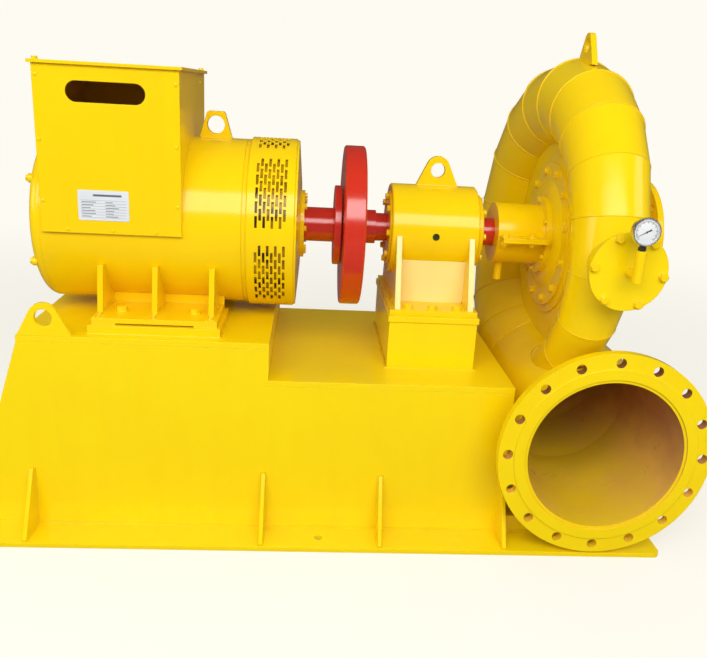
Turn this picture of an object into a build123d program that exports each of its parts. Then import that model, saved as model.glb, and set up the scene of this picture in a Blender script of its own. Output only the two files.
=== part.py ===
from build123d import *
import math
import os

os.makedirs("parts", exist_ok=True)

# Millimetres. X runs along the shaft towards the water outlet, Y away from the inlet flange, Z up.
# The origin is on the floor, under the shaft line, at the middle of the base plate.

# Shaft line
SHAFT_Z = 795
SHAFT_R = 48.5
JOURNAL_R = 40
RUN_GAP = 0.5

# Generator
GEN_R = 229
GEN_LEFT = -752
END_COVER_T = 30
END_COVER_ROUND = 26
SEAM_FROM_BAND = 12
SEAM_W = 2
SEAM_DEPTH = 1.5
BAND_LEFT = -201
BAND_RIGHT = -75
BAND_PROUD = 7
BAND_R = GEN_R + BAND_PROUD
BAND_WALL = 5
BAND_EDGE = 2.5
CORE_GAP = 3
CORE_R = BAND_R - BAND_WALL - CORE_GAP
SLOT_GROUPS = 6
SLOT_COLUMNS = 8
SLOT_ROWS = 5
SLOT_W = 6.7
SLOT_L = 30
SLOT_BRIDGE = 8
SLOT_COLUMN_PITCH = 10.5
FIRST_GROUP_ANGLE = 30
SHIELD_RIM_T = 5
SHIELD_CONE_T = 9
SHIELD_STEP = 4
SHIELD_SMALL_R = 118
CAP_R = 95
CAP_T = 10

# Generator feet, one plinth bar under each
FOOT_X = (-583, -265)
FOOT_INNER = 115
FOOT_OUTER = 301
FOOT_T = 13
FOOT_WEB_T = 12
FOOT_WEB_H = 40
RIB_X = (-580, -440, -293)
RIB_T = 14
RIB_FOOT_Y = 252
RIB_TOP_Y = 231
RIB_H = 135
PLINTH_BAR_T = 22
PLINTH_BAR_MARGIN = 9
PAD_T = 4
PAD_LENGTH = 60

# Terminal box
BOX_X = (-712, -362)
BOX_Y = (-238, 200)
BOX_Z = (786, 1192)
SHEET = 4
LID_OVER = 8
LID_T = 8
WINDOW_W = 191
WINDOW_H = 50
WINDOW_LEFT = 77
WINDOW_DOWN = 61

# Welded base, stepped down beside the generator
DECK_SPACE = 24
UPPER_TOP = SHAFT_Z - GEN_R - DECK_SPACE
DECK_DROP = 101
LOWER_TOP = UPPER_TOP - DECK_DROP
BASE_HALF_LENGTH = 948
BASE_HALF_WIDTH = 446
BASE_EDGE = 101
BASE_CORNER_R = 20
DECK_HALF = BASE_HALF_WIDTH - BASE_EDGE
PLATE = 12
DECK_T = 16
TOE_LEFT = 30
TOE_RIGHT = 48
END_SLOPE = 159
FOOT_LEFT = TOE_LEFT - BASE_HALF_LENGTH
DECK_LEFT = FOOT_LEFT + END_SLOPE
STEP_X = -128
DECK_RIGHT = 522
RAIL_H = 48
GUSSET_T = 10
GUSSET_H = 165
GUSSET_TIP = 10
GUSSET_TOE = 5
GUSSET_MARGIN = 8
GUSSET_X = (DECK_LEFT + 12, STEP_X - 13, 175, DECK_RIGHT - GUSSET_T)
ANCHOR_R = 11
ANCHOR_Y = BASE_HALF_WIDTH - 50
ANCHOR_LEFT = 115 - BASE_HALF_LENGTH
ANCHOR_RIGHT = BASE_HALF_LENGTH - 81
ANCHOR_X = (ANCHOR_LEFT, (ANCHOR_LEFT + ANCHOR_RIGHT) / 2, ANCHOR_RIGHT)

# Flywheel and coupling
DISC_X = (33, 53)
DISC_R = 113
DISC_EDGE = 2
WHEEL_X = (56, 113)
WHEEL_R = 226
WHEEL_EDGE = 4
HUB_R = 48
HUB_RIGHT = 153

# Bearing and its pedestal
BARREL_X = (192, 435)
BARREL_R = 127
BARREL_EDGE = 3
COVER_R = 105
COVER_T = (5, 16)
COVER_EDGE = 3
PLUG_HOLE_R = 7.5
PLUG_HOLE_DEPTH = 25
CHEEK_IN = 13
CHEEK_T = 15
CHEEK_TOP_HALF = BARREL_R + 4
CHEEK_FOOT_HALF = 195
PANEL_HALF = 105
BEARING_FOOT_T = 14
BEARING_FOOT_HALF = 203
PEDESTAL_H = 149
PEDESTAL_HALF = 218
PEDESTAL_X = (187, 437)
PEDESTAL_TOP_T = 16
PEDESTAL_LIP = 4
PEDESTAL_TOP = LOWER_TOP + PEDESTAL_H
BEARING_FOOT_TOP = PEDESTAL_TOP + BEARING_FOOT_T

# Inlet pipe and its flange
CASE_X = 750
WALL = 8
INLET_Z = 300
INLET_R = 213
FLANGE_Y = -452
FLANGE_T = 28
FLANGE_R = 282.5
FLANGE_PCD = 515
FLANGE_HOLE_COUNT = 16
FLANGE_HOLE_R = 13
FACE_R = 241
FACE_H = 3
PIPE_END_Y = -40

# Spiral case: round mitre sections whose centres lie on a circle off the shaft line
MEAN_RING = 424
RING_SHIFT = 71.5
RING_SHIFT_ANGLE = 40
RING_LAST_ANGLE = 280
RADIUS_LOSS = 0.65
RADIUS_EASE = 0.0007
SIDE_DRIFT = 0.18
FIRST_SEAM = 14
MITRE_ANGLE = 20
MITRES_PER_NODE = 2
SPIRAL_NODES = 7
NODE_ANGLE = MITRE_ANGLE * MITRES_PER_NODE
TAIL_START = FIRST_SEAM + (SPIRAL_NODES - 1) * NODE_ANGLE
TAIL_END = 350
TAIL_BEND = 42
TAIL_DRIFT = 0.375
TAIL_LOSS = 0.225

# Stay ring, head cover and gland
STAY_X = (672, 770)
STAY_R = 320
STAY_BORE = 205
STAY_T = 14
HEAD_SEAT_R = 228
HEAD_SEAT_T = 8
HEAD_FLANGE_R = 207
HEAD_FLANGE_T = 9
DOME_R = 156
DOME_RISE = 12
SPIGOT_GAP = 0.5
GLAND_LEFT = 497
GLAND_R = 86
GLAND_FLANGE_R = 112
GLAND_FLANGE_T = 14
SPLIT_HALF = 136
SPLIT_T = 7
SPLIT_START = 4
DRAIN_R = 11.5
DRAIN_X = 527
DRAIN_L = 53
HEAD_LEFT = STAY_X[0] - HEAD_SEAT_T - HEAD_FLANGE_T - DOME_RISE
GLAND_X = (GLAND_LEFT, HEAD_LEFT)

# Outlet
OUTLET_COVER_R = 235
OUTLET_COVER_T = 20
THROAT_R = 96
OUTLET_R = 109.5
OUTLET_FACE_X = 936
OUTLET_FLANGE_T = 17
OUTLET_FLANGE_R = 170
OUTLET_PCD = 295
OUTLET_HOLE_COUNT = 8
OUTLET_HOLE_R = 11

# Hand hole and pressure gauge
HAND_X = 706
HAND_Z = SHAFT_Z + 6
NECK_R = 74
NECK_WALL = 8
NECK_FACE_Y = -490
HAND_COVER_R = 93.5
HAND_COVER_T = 14
GAUGE_REACH = 48
STUB_R = 10
RISER_R = 12
RISER_DOWN = 14
RISER_UP = 60
STEM_R = 6
GAUGE_R = 32
GAUGE_T = 26
GAUGE_UP = 104
HAND_COVER_Y = NECK_FACE_Y - HAND_COVER_T
RISER_Y = HAND_COVER_Y - GAUGE_REACH

# Lifting lugs: half width at the foot, height of the round top's centre, its radius, the eye's
# height and radius, and the thickness
BASE_LUG_X = -688
BASE_LUG = (68, 48, 38, 48, 22, PLATE)
GENERATOR_LUG_X = -302
GENERATOR_LUG_HALF = 48
GENERATOR_LUG_TOP_HALF = 17
GENERATOR_LUG_TOP_Z = 62
GENERATOR_LUG_CORNER = 9
GENERATOR_EYE_Z = 35
GENERATOR_EYE_R = 24
GENERATOR_LUG_T = 20
BEARING_LUG_X = 323
BEARING_LUG = (66, 49, 33, 43, 20.5, 18)
CASE_LUG_X = CASE_X - 36
CASE_LUG = (62, 46.5, 24, 37.5, 19, 16)
LUG_ROOT = 14


def block(x, y, z):
    """Box from its low and high limits on each axis."""
    size = [high - low for low, high in (x, y, z)]
    middle = [(high + low) / 2 for low, high in (x, y, z)]
    return Pos(*middle) * Box(*size)


def turned(radius, x, y=0, z=SHAFT_Z):
    """Cylinder along X between two stations."""
    return Pos((x[0] + x[1]) / 2, y, z) * Rot(0, 90, 0) * Cylinder(radius, x[1] - x[0])


def ring(outer, inner, x, y=0, z=SHAFT_Z):
    return turned(outer, x, y, z) - turned(inner, x, y, z)


def forward(radius, x, y, z):
    """Cylinder along Y between two stations."""
    return Pos(x, (y[0] + y[1]) / 2, z) * Rot(90, 0, 0) * Cylinder(radius, y[1] - y[0])


def upright(radius, x, y, z):
    return Pos(x, y, (z[0] + z[1]) / 2) * Cylinder(radius, z[1] - z[0])


def facing_front(x, y, z):
    """Drawing plane with X to the right and Z up."""
    return Plane(origin=(x, y, z), x_dir=(1, 0, 0), z_dir=(0, -1, 0))


def facing_right(x, y, z):
    """Drawing plane with Y to the right and Z up."""
    return Plane(origin=(x, y, z), x_dir=(0, 1, 0), z_dir=(1, 0, 0))


def shaft_profile(wire):
    """Turn a closed profile of station and radius about the shaft line."""
    face = facing_front(0, 0, SHAFT_Z) * make_face(wire)
    return revolve(face, Axis((0, 0, SHAFT_Z), (1, 0, 0)))


def turned_profile(*points):
    return shaft_profile(Polyline(*points, close=True))


def side_sheet(points, y):
    """Flat plate drawn in X and Z, between two stations on Y."""
    outline = facing_front(0, y[1], 0) * make_face(Polyline(*points, close=True))
    return extrude(outline, y[1] - y[0])


def cross_sheet(points, x):
    """Flat plate drawn in Y and Z, between two stations on X."""
    outline = facing_right(x[0], 0, 0) * make_face(Polyline(*points, close=True))
    return extrude(outline, x[1] - x[0])


def both_sides(make):
    """The same piece at the front and at the back."""
    return Compound([make(-1), make(1)])


def on_side(side, inner, outer):
    """Stations on Y at the front or the back, low one first."""
    return sorted((side * inner, side * outer))


def bolt_circle(count, pcd, start=90):
    angles = [math.radians(start + i * 360 / count) for i in range(count)]
    return [(pcd / 2 * math.cos(a), pcd / 2 * math.sin(a)) for a in angles]


def lug_outline(half_base, rounds, root=0):
    """Taut outline round a foot line and the rounded top, drawn from the middle of the foot."""
    edges = [Line((-half_base, -root), (half_base, -root))]
    for x, z, radius in rounds:
        edges += (Pos(x, z) * Circle(radius)).edges()
    return make_hull(edges)


def round_lug(plane, lug, root=0):
    """Lug with one round top, centred on a plane at the middle of its foot."""
    half_base, top_z, top_r, eye_z, eye_r, thickness = lug
    outline = lug_outline(half_base, [(0, top_z, top_r)], root) - Pos(0, eye_z) * Circle(eye_r)
    return extrude(plane * outline, thickness / 2, both=True)


def save(name, shape):
    shape.label = name
    export_step(shape, f"parts/{name}.step")


# Base


def base_plate():
    plate = block((-BASE_HALF_LENGTH, BASE_HALF_LENGTH), (-BASE_HALF_WIDTH, BASE_HALF_WIDTH), (0, PLATE))
    plate = fillet(plate.edges().filter_by(Axis.Z), BASE_CORNER_R)
    for x in ANCHOR_X:
        for y in (-ANCHOR_Y, ANCHOR_Y):
            plate -= upright(ANCHOR_R, x, y, (-1, PLATE + 1))
    return plate


def side_panel(side):
    points = [
        (FOOT_LEFT, PLATE),
        (DECK_LEFT, UPPER_TOP - DECK_T),
        (STEP_X, UPPER_TOP - DECK_T),
        (STEP_X, LOWER_TOP - DECK_T),
        (DECK_RIGHT, LOWER_TOP - DECK_T),
        (DECK_RIGHT, PLATE + RAIL_H),
        (BASE_HALF_LENGTH - TOE_RIGHT, PLATE + RAIL_H),
        (BASE_HALF_LENGTH - TOE_RIGHT, PLATE),
    ]
    return side_sheet(points, on_side(side, DECK_HALF - PLATE, DECK_HALF))


def left_end_plate(y):
    points = [
        (FOOT_LEFT, PLATE),
        (DECK_LEFT, UPPER_TOP - DECK_T),
        (DECK_LEFT + PLATE, UPPER_TOP - DECK_T),
        (FOOT_LEFT + PLATE, PLATE),
    ]
    return side_sheet(points, y)


def end_plates():
    inside = (PLATE - DECK_HALF, DECK_HALF - PLATE)
    step = block((STEP_X - PLATE, STEP_X), inside, (LOWER_TOP - DECK_T, UPPER_TOP - DECK_T))
    right = block((DECK_RIGHT - PLATE, DECK_RIGHT), inside, (PLATE, LOWER_TOP - DECK_T))
    return Compound([left_end_plate(inside), step, right])


def deck(x, top):
    return block(x, (-DECK_HALF, DECK_HALF), (top - DECK_T, top))


def gussets():
    blades = []
    toe = BASE_HALF_WIDTH - GUSSET_MARGIN
    for side in (-1, 1):
        points = [
            (side * DECK_HALF, PLATE),
            (side * toe, PLATE),
            (side * toe, PLATE + GUSSET_TOE),
            (side * (DECK_HALF + GUSSET_TIP), PLATE + GUSSET_H),
            (side * DECK_HALF, PLATE + GUSSET_H),
        ]
        for x in GUSSET_X:
            blades.append(cross_sheet(points, (x, x + GUSSET_T)))
    return Compound(blades)


def base_eye(side):
    middle = side * (DECK_HALF - PLATE / 2)
    return round_lug(facing_front(BASE_LUG_X, middle, UPPER_TOP), BASE_LUG)


# Generator


def generator_frame():
    """Stator housing, with the core that fills the space inside the slotted band."""
    body = turned(GEN_R, (GEN_LEFT + END_COVER_T, BAND_LEFT))
    seam = (BAND_LEFT - SEAM_FROM_BAND, BAND_LEFT - SEAM_FROM_BAND + SEAM_W)
    body -= ring(GEN_R + 1, GEN_R - SEAM_DEPTH, seam)
    return body + turned(CORE_R, (BAND_LEFT, BAND_RIGHT))


def rear_end_cover():
    cover = turned(GEN_R, (GEN_LEFT, GEN_LEFT + END_COVER_T))
    cover = fillet(cover.edges().group_by(Axis.X)[0], END_COVER_ROUND)
    return cover + turned(CAP_R, (GEN_LEFT - CAP_T, GEN_LEFT))


def band_slots():
    """Staggered columns of slots in equal groups round the band."""
    pitch = math.degrees((SLOT_L + SLOT_BRIDGE) / BAND_R)
    middle = (BAND_LEFT + BAND_RIGHT) / 2
    slot = Box(SLOT_W, 4 * BAND_WALL, SLOT_L)
    cutters = []
    for column in range(SLOT_COLUMNS):
        x = middle + (column - (SLOT_COLUMNS - 1) / 2) * SLOT_COLUMN_PITCH
        stagger = pitch / 4 if column % 2 else -pitch / 4
        for group in range(SLOT_GROUPS):
            for row in range(SLOT_ROWS):
                angle = FIRST_GROUP_ANGLE + group * 360 / SLOT_GROUPS
                angle += (row - (SLOT_ROWS - 1) / 2) * pitch + stagger
                cutters.append(Pos(x, 0, SHAFT_Z) * Rot(-angle, 0, 0) * Pos(0, -BAND_R, 0) * slot)
    return cutters


def ventilation_band():
    inner = BAND_R - BAND_WALL
    band = turned_profile(
        (BAND_LEFT, inner),
        (BAND_LEFT, BAND_R - BAND_EDGE),
        (BAND_LEFT + BAND_EDGE, BAND_R),
        (BAND_RIGHT - BAND_EDGE, BAND_R),
        (BAND_RIGHT, BAND_R - BAND_EDGE),
        (BAND_RIGHT, inner),
    )
    return band - band_slots()


def drive_end_shield():
    rim_x = BAND_RIGHT + SHIELD_RIM_T
    cone_x = rim_x + SHIELD_CONE_T
    bore = SHAFT_R + RUN_GAP
    return turned_profile(
        (BAND_RIGHT, bore),
        (BAND_RIGHT, BAND_R - SHIELD_STEP),
        (rim_x, BAND_R - SHIELD_STEP),
        (cone_x, SHIELD_SMALL_R),
        (cone_x, CAP_R),
        (cone_x + CAP_T, CAP_R),
        (cone_x + CAP_T, bore),
    )


def generator_lug():
    rounds = [(x, GENERATOR_LUG_TOP_Z, GENERATOR_LUG_CORNER)
              for x in (-GENERATOR_LUG_TOP_HALF, GENERATOR_LUG_TOP_HALF)]
    outline = lug_outline(GENERATOR_LUG_HALF, rounds, LUG_ROOT)
    outline -= Pos(0, GENERATOR_EYE_Z) * Circle(GENERATOR_EYE_R)
    plane = facing_front(GENERATOR_LUG_X, 0, SHAFT_Z + GEN_R)
    plate = extrude(plane * outline, GENERATOR_LUG_T / 2, both=True)
    return plate - turned(GEN_R, (GEN_LEFT, BAND_RIGHT))


def generator_foot(side):
    bottom = UPPER_TOP + PLINTH_BAR_T + PAD_T
    top = bottom + FOOT_T
    foot = block(FOOT_X, on_side(side, FOOT_INNER, FOOT_OUTER), (bottom, top))
    rib = [
        (side * FOOT_INNER, top),
        (side * RIB_FOOT_Y, top),
        (side * RIB_TOP_Y, bottom + RIB_H),
        (side * FOOT_INNER, bottom + RIB_H),
    ]
    for x in RIB_X:
        foot += cross_sheet(rib, (x, x + RIB_T))
    web = on_side(side, FOOT_INNER, FOOT_INNER + FOOT_WEB_T)
    foot += block(FOOT_X, web, (top, top + FOOT_WEB_H))
    return foot - turned(GEN_R, (GEN_LEFT, BAND_RIGHT))


def plinth_bar(side):
    """Flat bar with a machined pad under each end of the foot."""
    x = (FOOT_X[0] - PLINTH_BAR_MARGIN, FOOT_X[1] + PLINTH_BAR_MARGIN)
    y = on_side(side, FOOT_INNER - PLINTH_BAR_MARGIN, FOOT_OUTER + PLINTH_BAR_MARGIN)
    top = UPPER_TOP + PLINTH_BAR_T
    bar = block(x, y, (UPPER_TOP, top))
    for left in (FOOT_X[0], FOOT_X[1] - PAD_LENGTH):
        bar += block((left, left + PAD_LENGTH), on_side(side, FOOT_INNER, FOOT_OUTER), (top, top + PAD_T))
    return bar


def terminal_box():
    outer = block(BOX_X, BOX_Y, BOX_Z)
    inner = block(
        (BOX_X[0] + SHEET, BOX_X[1] - SHEET),
        (BOX_Y[0] + SHEET, BOX_Y[1] - SHEET),
        (BOX_Z[0] - 1, BOX_Z[1] + 1),
    )
    window_x = BOX_X[0] + WINDOW_LEFT + WINDOW_W / 2
    window = facing_front(window_x, BOX_Y[0], BOX_Z[1] - WINDOW_DOWN) * SlotOverall(WINDOW_W, WINDOW_H)
    return outer - inner - extrude(window, 2 * SHEET, both=True) - turned(GEN_R, (GEN_LEFT, BAND_RIGHT))


def terminal_box_lid():
    return block(
        (BOX_X[0] - LID_OVER, BOX_X[1] + LID_OVER),
        (BOX_Y[0] - LID_OVER, BOX_Y[1] + LID_OVER),
        (BOX_Z[1], BOX_Z[1] + LID_T),
    )


# Rotor


def shaft():
    neck = turned(SHAFT_R, (BAND_RIGHT + RUN_GAP, DISC_X[0]))
    return neck + turned(JOURNAL_R, (DISC_X[0], STAY_X[0]))


def rimmed_disc(x, radius, edge):
    """Disc on the journal with both edges of its rim bevelled."""
    return turned_profile(
        (x[0], JOURNAL_R),
        (x[0], radius - edge),
        (x[0] + edge, radius),
        (x[1] - edge, radius),
        (x[1], radius - edge),
        (x[1], JOURNAL_R),
    )


def coupling_disc():
    return rimmed_disc(DISC_X, DISC_R, DISC_EDGE)


def flywheel():
    return rimmed_disc(WHEEL_X, WHEEL_R, WHEEL_EDGE) + ring(HUB_R, JOURNAL_R, (WHEEL_X[1], HUB_RIGHT))


# Bearing


def bearing_housing():
    bore = JOURNAL_R + RUN_GAP
    barrel = turned_profile(
        (BARREL_X[0], bore),
        (BARREL_X[0], BARREL_R - BARREL_EDGE),
        (BARREL_X[0] + BARREL_EDGE, BARREL_R),
        (BARREL_X[1] - BARREL_EDGE, BARREL_R),
        (BARREL_X[1], BARREL_R - BARREL_EDGE),
        (BARREL_X[1], bore),
    )
    middle = sum(BARREL_X) / 2
    return barrel - forward(PLUG_HOLE_R, middle, (-BARREL_R - 1, PLUG_HOLE_DEPTH - BARREL_R), SHAFT_Z)


def bearing_cover(inner_x, outer_x):
    bore = JOURNAL_R + RUN_GAP
    bevel_x = outer_x - math.copysign(COVER_EDGE, outer_x - inner_x)
    return turned_profile(
        (inner_x, bore),
        (inner_x, COVER_R),
        (bevel_x, COVER_R),
        (outer_x, COVER_R - COVER_EDGE),
        (outer_x, bore),
    )


def bearing_covers():
    left = bearing_cover(BARREL_X[0], BARREL_X[0] - COVER_T[0])
    right = bearing_cover(BARREL_X[1], BARREL_X[1] + COVER_T[1])
    return Compound([left, right])


def bearing_lug():
    plane = facing_front(BEARING_LUG_X, 0, SHAFT_Z + BARREL_R)
    return round_lug(plane, BEARING_LUG, LUG_ROOT) - turned(BARREL_R, BARREL_X)


def pedestal_frame():
    """Two cheeks that widen to the foot, and the box between them that carries the barrel."""
    left = BARREL_X[0] + CHEEK_IN
    right = BARREL_X[1] - CHEEK_IN
    frame = block((left, right), (-PANEL_HALF, PANEL_HALF), (BEARING_FOOT_TOP, SHAFT_Z))
    cheek = [
        (-CHEEK_FOOT_HALF, BEARING_FOOT_TOP),
        (CHEEK_FOOT_HALF, BEARING_FOOT_TOP),
        (CHEEK_TOP_HALF, SHAFT_Z),
        (-CHEEK_TOP_HALF, SHAFT_Z),
    ]
    for x in (left, right - CHEEK_T):
        frame += cross_sheet(cheek, (x, x + CHEEK_T))
    foot_x = (PEDESTAL_X[0] + PEDESTAL_LIP, PEDESTAL_X[1] - PEDESTAL_LIP)
    frame += block(foot_x, (-BEARING_FOOT_HALF, BEARING_FOOT_HALF), (PEDESTAL_TOP, BEARING_FOOT_TOP))
    return frame - turned(BARREL_R, (left - 1, right + 1))


def pedestal_plinth():
    """Open-bottomed box with a thicker top plate that stands proud as a lip."""
    wall_x = (PEDESTAL_X[0] + PEDESTAL_LIP, PEDESTAL_X[1] - PEDESTAL_LIP)
    wall_y = (PEDESTAL_LIP - PEDESTAL_HALF, PEDESTAL_HALF - PEDESTAL_LIP)
    walls = block(wall_x, wall_y, (LOWER_TOP, PEDESTAL_TOP - PEDESTAL_TOP_T))
    walls -= block(
        (wall_x[0] + PLATE, wall_x[1] - PLATE),
        (wall_y[0] + PLATE, wall_y[1] - PLATE),
        (LOWER_TOP - 1, PEDESTAL_TOP - PEDESTAL_TOP_T + 1),
    )
    top = block(PEDESTAL_X, (-PEDESTAL_HALF, PEDESTAL_HALF), (PEDESTAL_TOP - PEDESTAL_TOP_T, PEDESTAL_TOP))
    return walls + top


# Turbine


def spiral_reach(theta):
    """Distance of a section's centre from the shaft line, theta degrees from straight down."""
    return MEAN_RING + RING_SHIFT * math.cos(math.radians(min(theta, RING_LAST_ANGLE) - RING_SHIFT_ANGLE))


def tail_angle(theta):
    """Degrees past the start of the tail, up to where its extra drift and taper end."""
    return min(max(theta - TAIL_START, 0), TAIL_BEND)


def spiral_radius(theta):
    return INLET_R - RADIUS_LOSS * theta + RADIUS_EASE * theta**2 - TAIL_LOSS * tail_angle(theta)


def spiral_section(theta, wall=0):
    """Round mitre section of the case, in the half plane at theta from straight down."""
    angle = math.radians(theta)
    reach = spiral_reach(theta)
    x = CASE_X - SIDE_DRIFT * theta - TAIL_DRIFT * tail_angle(theta)
    centre = (x, reach * math.sin(angle), SHAFT_Z - reach * math.cos(angle))
    plane = Plane(origin=centre, x_dir=(1, 0, 0), z_dir=(0, math.cos(angle), math.sin(angle)))
    return plane * Circle(spiral_radius(theta) - wall)


def spiral_solid(start, end, wall=0):
    """Straight-sided mitre pieces from seam to seam."""
    steps = []
    theta = start
    while theta < end:
        upper = min(theta + MITRE_ANGLE, end)
        steps.append(loft([spiral_section(theta, wall), spiral_section(upper, wall)], ruled=True))
        theta = upper
    solid = steps[0]
    for step in steps[1:]:
        solid += step
    return solid


def inlet_solid(wall=0):
    return forward(INLET_R - wall, CASE_X, (FLANGE_Y + FACE_H, PIPE_END_Y), INLET_Z)


def taper_solid(wall=0):
    start = Plane(origin=(CASE_X, PIPE_END_Y, INLET_Z), x_dir=(1, 0, 0), z_dir=(0, 1, 0))
    return loft([start * Circle(INLET_R - wall), spiral_section(FIRST_SEAM, wall)], ruled=True)


def stay_space():
    return turned(STAY_R, STAY_X)


def hand_hole_bore():
    return forward(NECK_R - NECK_WALL, HAND_X, (NECK_FACE_Y, -spiral_reach(270)), HAND_Z)


def spiral_segment(start, end):
    return spiral_solid(start, end) - spiral_solid(start, end, WALL) - stay_space()


def spiral_tail():
    """Last segment, which runs back into the inlet pipe and carries the hand hole."""
    return spiral_segment(TAIL_START, TAIL_END) - inlet_solid() - hand_hole_bore()


def inlet_pipe():
    outer = inlet_solid() + taper_solid()
    inner = inlet_solid(WALL) + taper_solid(WALL)
    return outer - inner - stay_space() - spiral_solid(TAIL_START, TAIL_END, WALL)


def inlet_flange():
    back_y = FLANGE_Y + FLANGE_T
    plate = forward(FLANGE_R, CASE_X, (FLANGE_Y + FACE_H, back_y), INLET_Z)
    plate += forward(FACE_R, CASE_X, (FLANGE_Y, FLANGE_Y + FACE_H), INLET_Z)
    plate -= forward(INLET_R, CASE_X, (FLANGE_Y - 1, back_y + 1), INLET_Z)
    for x, z in bolt_circle(FLANGE_HOLE_COUNT, FLANGE_PCD):
        plate -= forward(FLANGE_HOLE_R, CASE_X + x, (FLANGE_Y - 1, back_y + 1), INLET_Z + z)
    return plate


def stay_ring():
    plates = ring(STAY_R, STAY_BORE, (STAY_X[0], STAY_X[0] + STAY_T))
    plates += ring(STAY_R, STAY_BORE, (STAY_X[1] - STAY_T, STAY_X[1]))
    wall = ring(STAY_R, STAY_R - WALL, STAY_X) - spiral_solid(FIRST_SEAM, TAIL_END)
    return plates + (wall - taper_solid() - inlet_solid())


def head_cover():
    """Domed cover bolted to the stay ring, with a spigot in the ring's bore."""
    bore = JOURNAL_R + RUN_GAP
    flange_x = HEAD_LEFT + DOME_RISE
    seat_x = flange_x + HEAD_FLANGE_T
    dome_middle = (HEAD_LEFT + DOME_RISE * 0.3, (GLAND_FLANGE_R + DOME_R) / 2 + 4)
    spigot = STAY_BORE - SPIGOT_GAP
    outline = [
        ThreePointArc((HEAD_LEFT, GLAND_FLANGE_R), dome_middle, (flange_x, DOME_R)),
        Polyline(
            (flange_x, DOME_R),
            (flange_x, HEAD_FLANGE_R),
            (seat_x, HEAD_FLANGE_R),
            (seat_x, HEAD_SEAT_R),
            (STAY_X[0], HEAD_SEAT_R),
            (STAY_X[0], spigot),
            (STAY_X[0] + STAY_T, spigot),
            (STAY_X[0] + STAY_T, bore),
            (HEAD_LEFT, bore),
            (HEAD_LEFT, GLAND_FLANGE_R),
        ),
    ]
    return shaft_profile(outline)


def gland_half(upper):
    """One half of the split gland, with its joint flanges and its share of the end flange."""
    bore = JOURNAL_R + RUN_GAP
    end_flange = (GLAND_X[1] - GLAND_FLANGE_T, GLAND_X[1])
    z = (SHAFT_Z, SHAFT_Z + SPLIT_T) if upper else (SHAFT_Z - SPLIT_T, SHAFT_Z)
    body = turned(GLAND_R, GLAND_X) + turned(GLAND_FLANGE_R, end_flange)
    body += block((GLAND_X[0] + SPLIT_START, end_flange[0]), (-SPLIT_HALF, SPLIT_HALF), z)
    keep = (SHAFT_Z, SHAFT_Z + SPLIT_HALF) if upper else (SHAFT_Z - SPLIT_HALF, SHAFT_Z)
    return (body - turned(bore, GLAND_X)) & block(GLAND_X, (-SPLIT_HALF, SPLIT_HALF), keep)


def gland_lower_half():
    bottom = SHAFT_Z - GLAND_R
    return gland_half(False) + upright(DRAIN_R, DRAIN_X, 0, (bottom - DRAIN_L, bottom + WALL))


def outlet_solid(wall=0):
    """Cone that widens from the wheel's outlet to the outlet flange."""
    start = facing_right(STAY_X[1], 0, SHAFT_Z) * Circle(THROAT_R - wall)
    end = facing_right(OUTLET_FACE_X, 0, SHAFT_Z) * Circle(OUTLET_R - wall)
    return loft([start, end], ruled=True)


def outlet_cone():
    cover = turned(OUTLET_COVER_R, (STAY_X[1], STAY_X[1] + OUTLET_COVER_T))
    return cover + outlet_solid() - outlet_solid(WALL)


def outlet_flange():
    x = (OUTLET_FACE_X - OUTLET_FLANGE_T, OUTLET_FACE_X)
    plate = turned(OUTLET_FLANGE_R, x)
    for y, z in bolt_circle(OUTLET_HOLE_COUNT, OUTLET_PCD):
        plate -= turned(OUTLET_HOLE_R, (x[0] - 1, x[1] + 1), y, SHAFT_Z + z)
    return plate - outlet_solid()


def case_lug():
    top = SHAFT_Z + spiral_reach(180) + spiral_radius(180)
    lug = round_lug(facing_right(CASE_LUG_X, 0, top), CASE_LUG, LUG_ROOT)
    return lug - spiral_solid(134, 214)


def hand_hole_neck():
    neck = forward(NECK_R, HAND_X, (NECK_FACE_Y, -spiral_reach(270)), HAND_Z)
    return neck - hand_hole_bore() - spiral_solid(TAIL_START, TAIL_START + NODE_ANGLE)


def hand_hole_cover():
    return forward(HAND_COVER_R, HAND_X, (HAND_COVER_Y, NECK_FACE_Y), HAND_Z)


def gauge_pipe():
    """Stub out of the cover, riser, and the thinner stem up to the gauge."""
    stub = forward(STUB_R, HAND_X, (RISER_Y, HAND_COVER_Y), HAND_Z)
    riser = upright(RISER_R, HAND_X, RISER_Y, (HAND_Z - RISER_DOWN, HAND_Z + RISER_UP))
    stem = upright(STEM_R, HAND_X, RISER_Y, (HAND_Z + RISER_UP, HAND_Z + GAUGE_UP - GAUGE_R + 4))
    return stub + riser + stem - pressure_gauge()


def pressure_gauge():
    y = (RISER_Y - GAUGE_T / 2, RISER_Y + GAUGE_T / 2)
    return forward(GAUGE_R, HAND_X, y, HAND_Z + GAUGE_UP)


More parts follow.
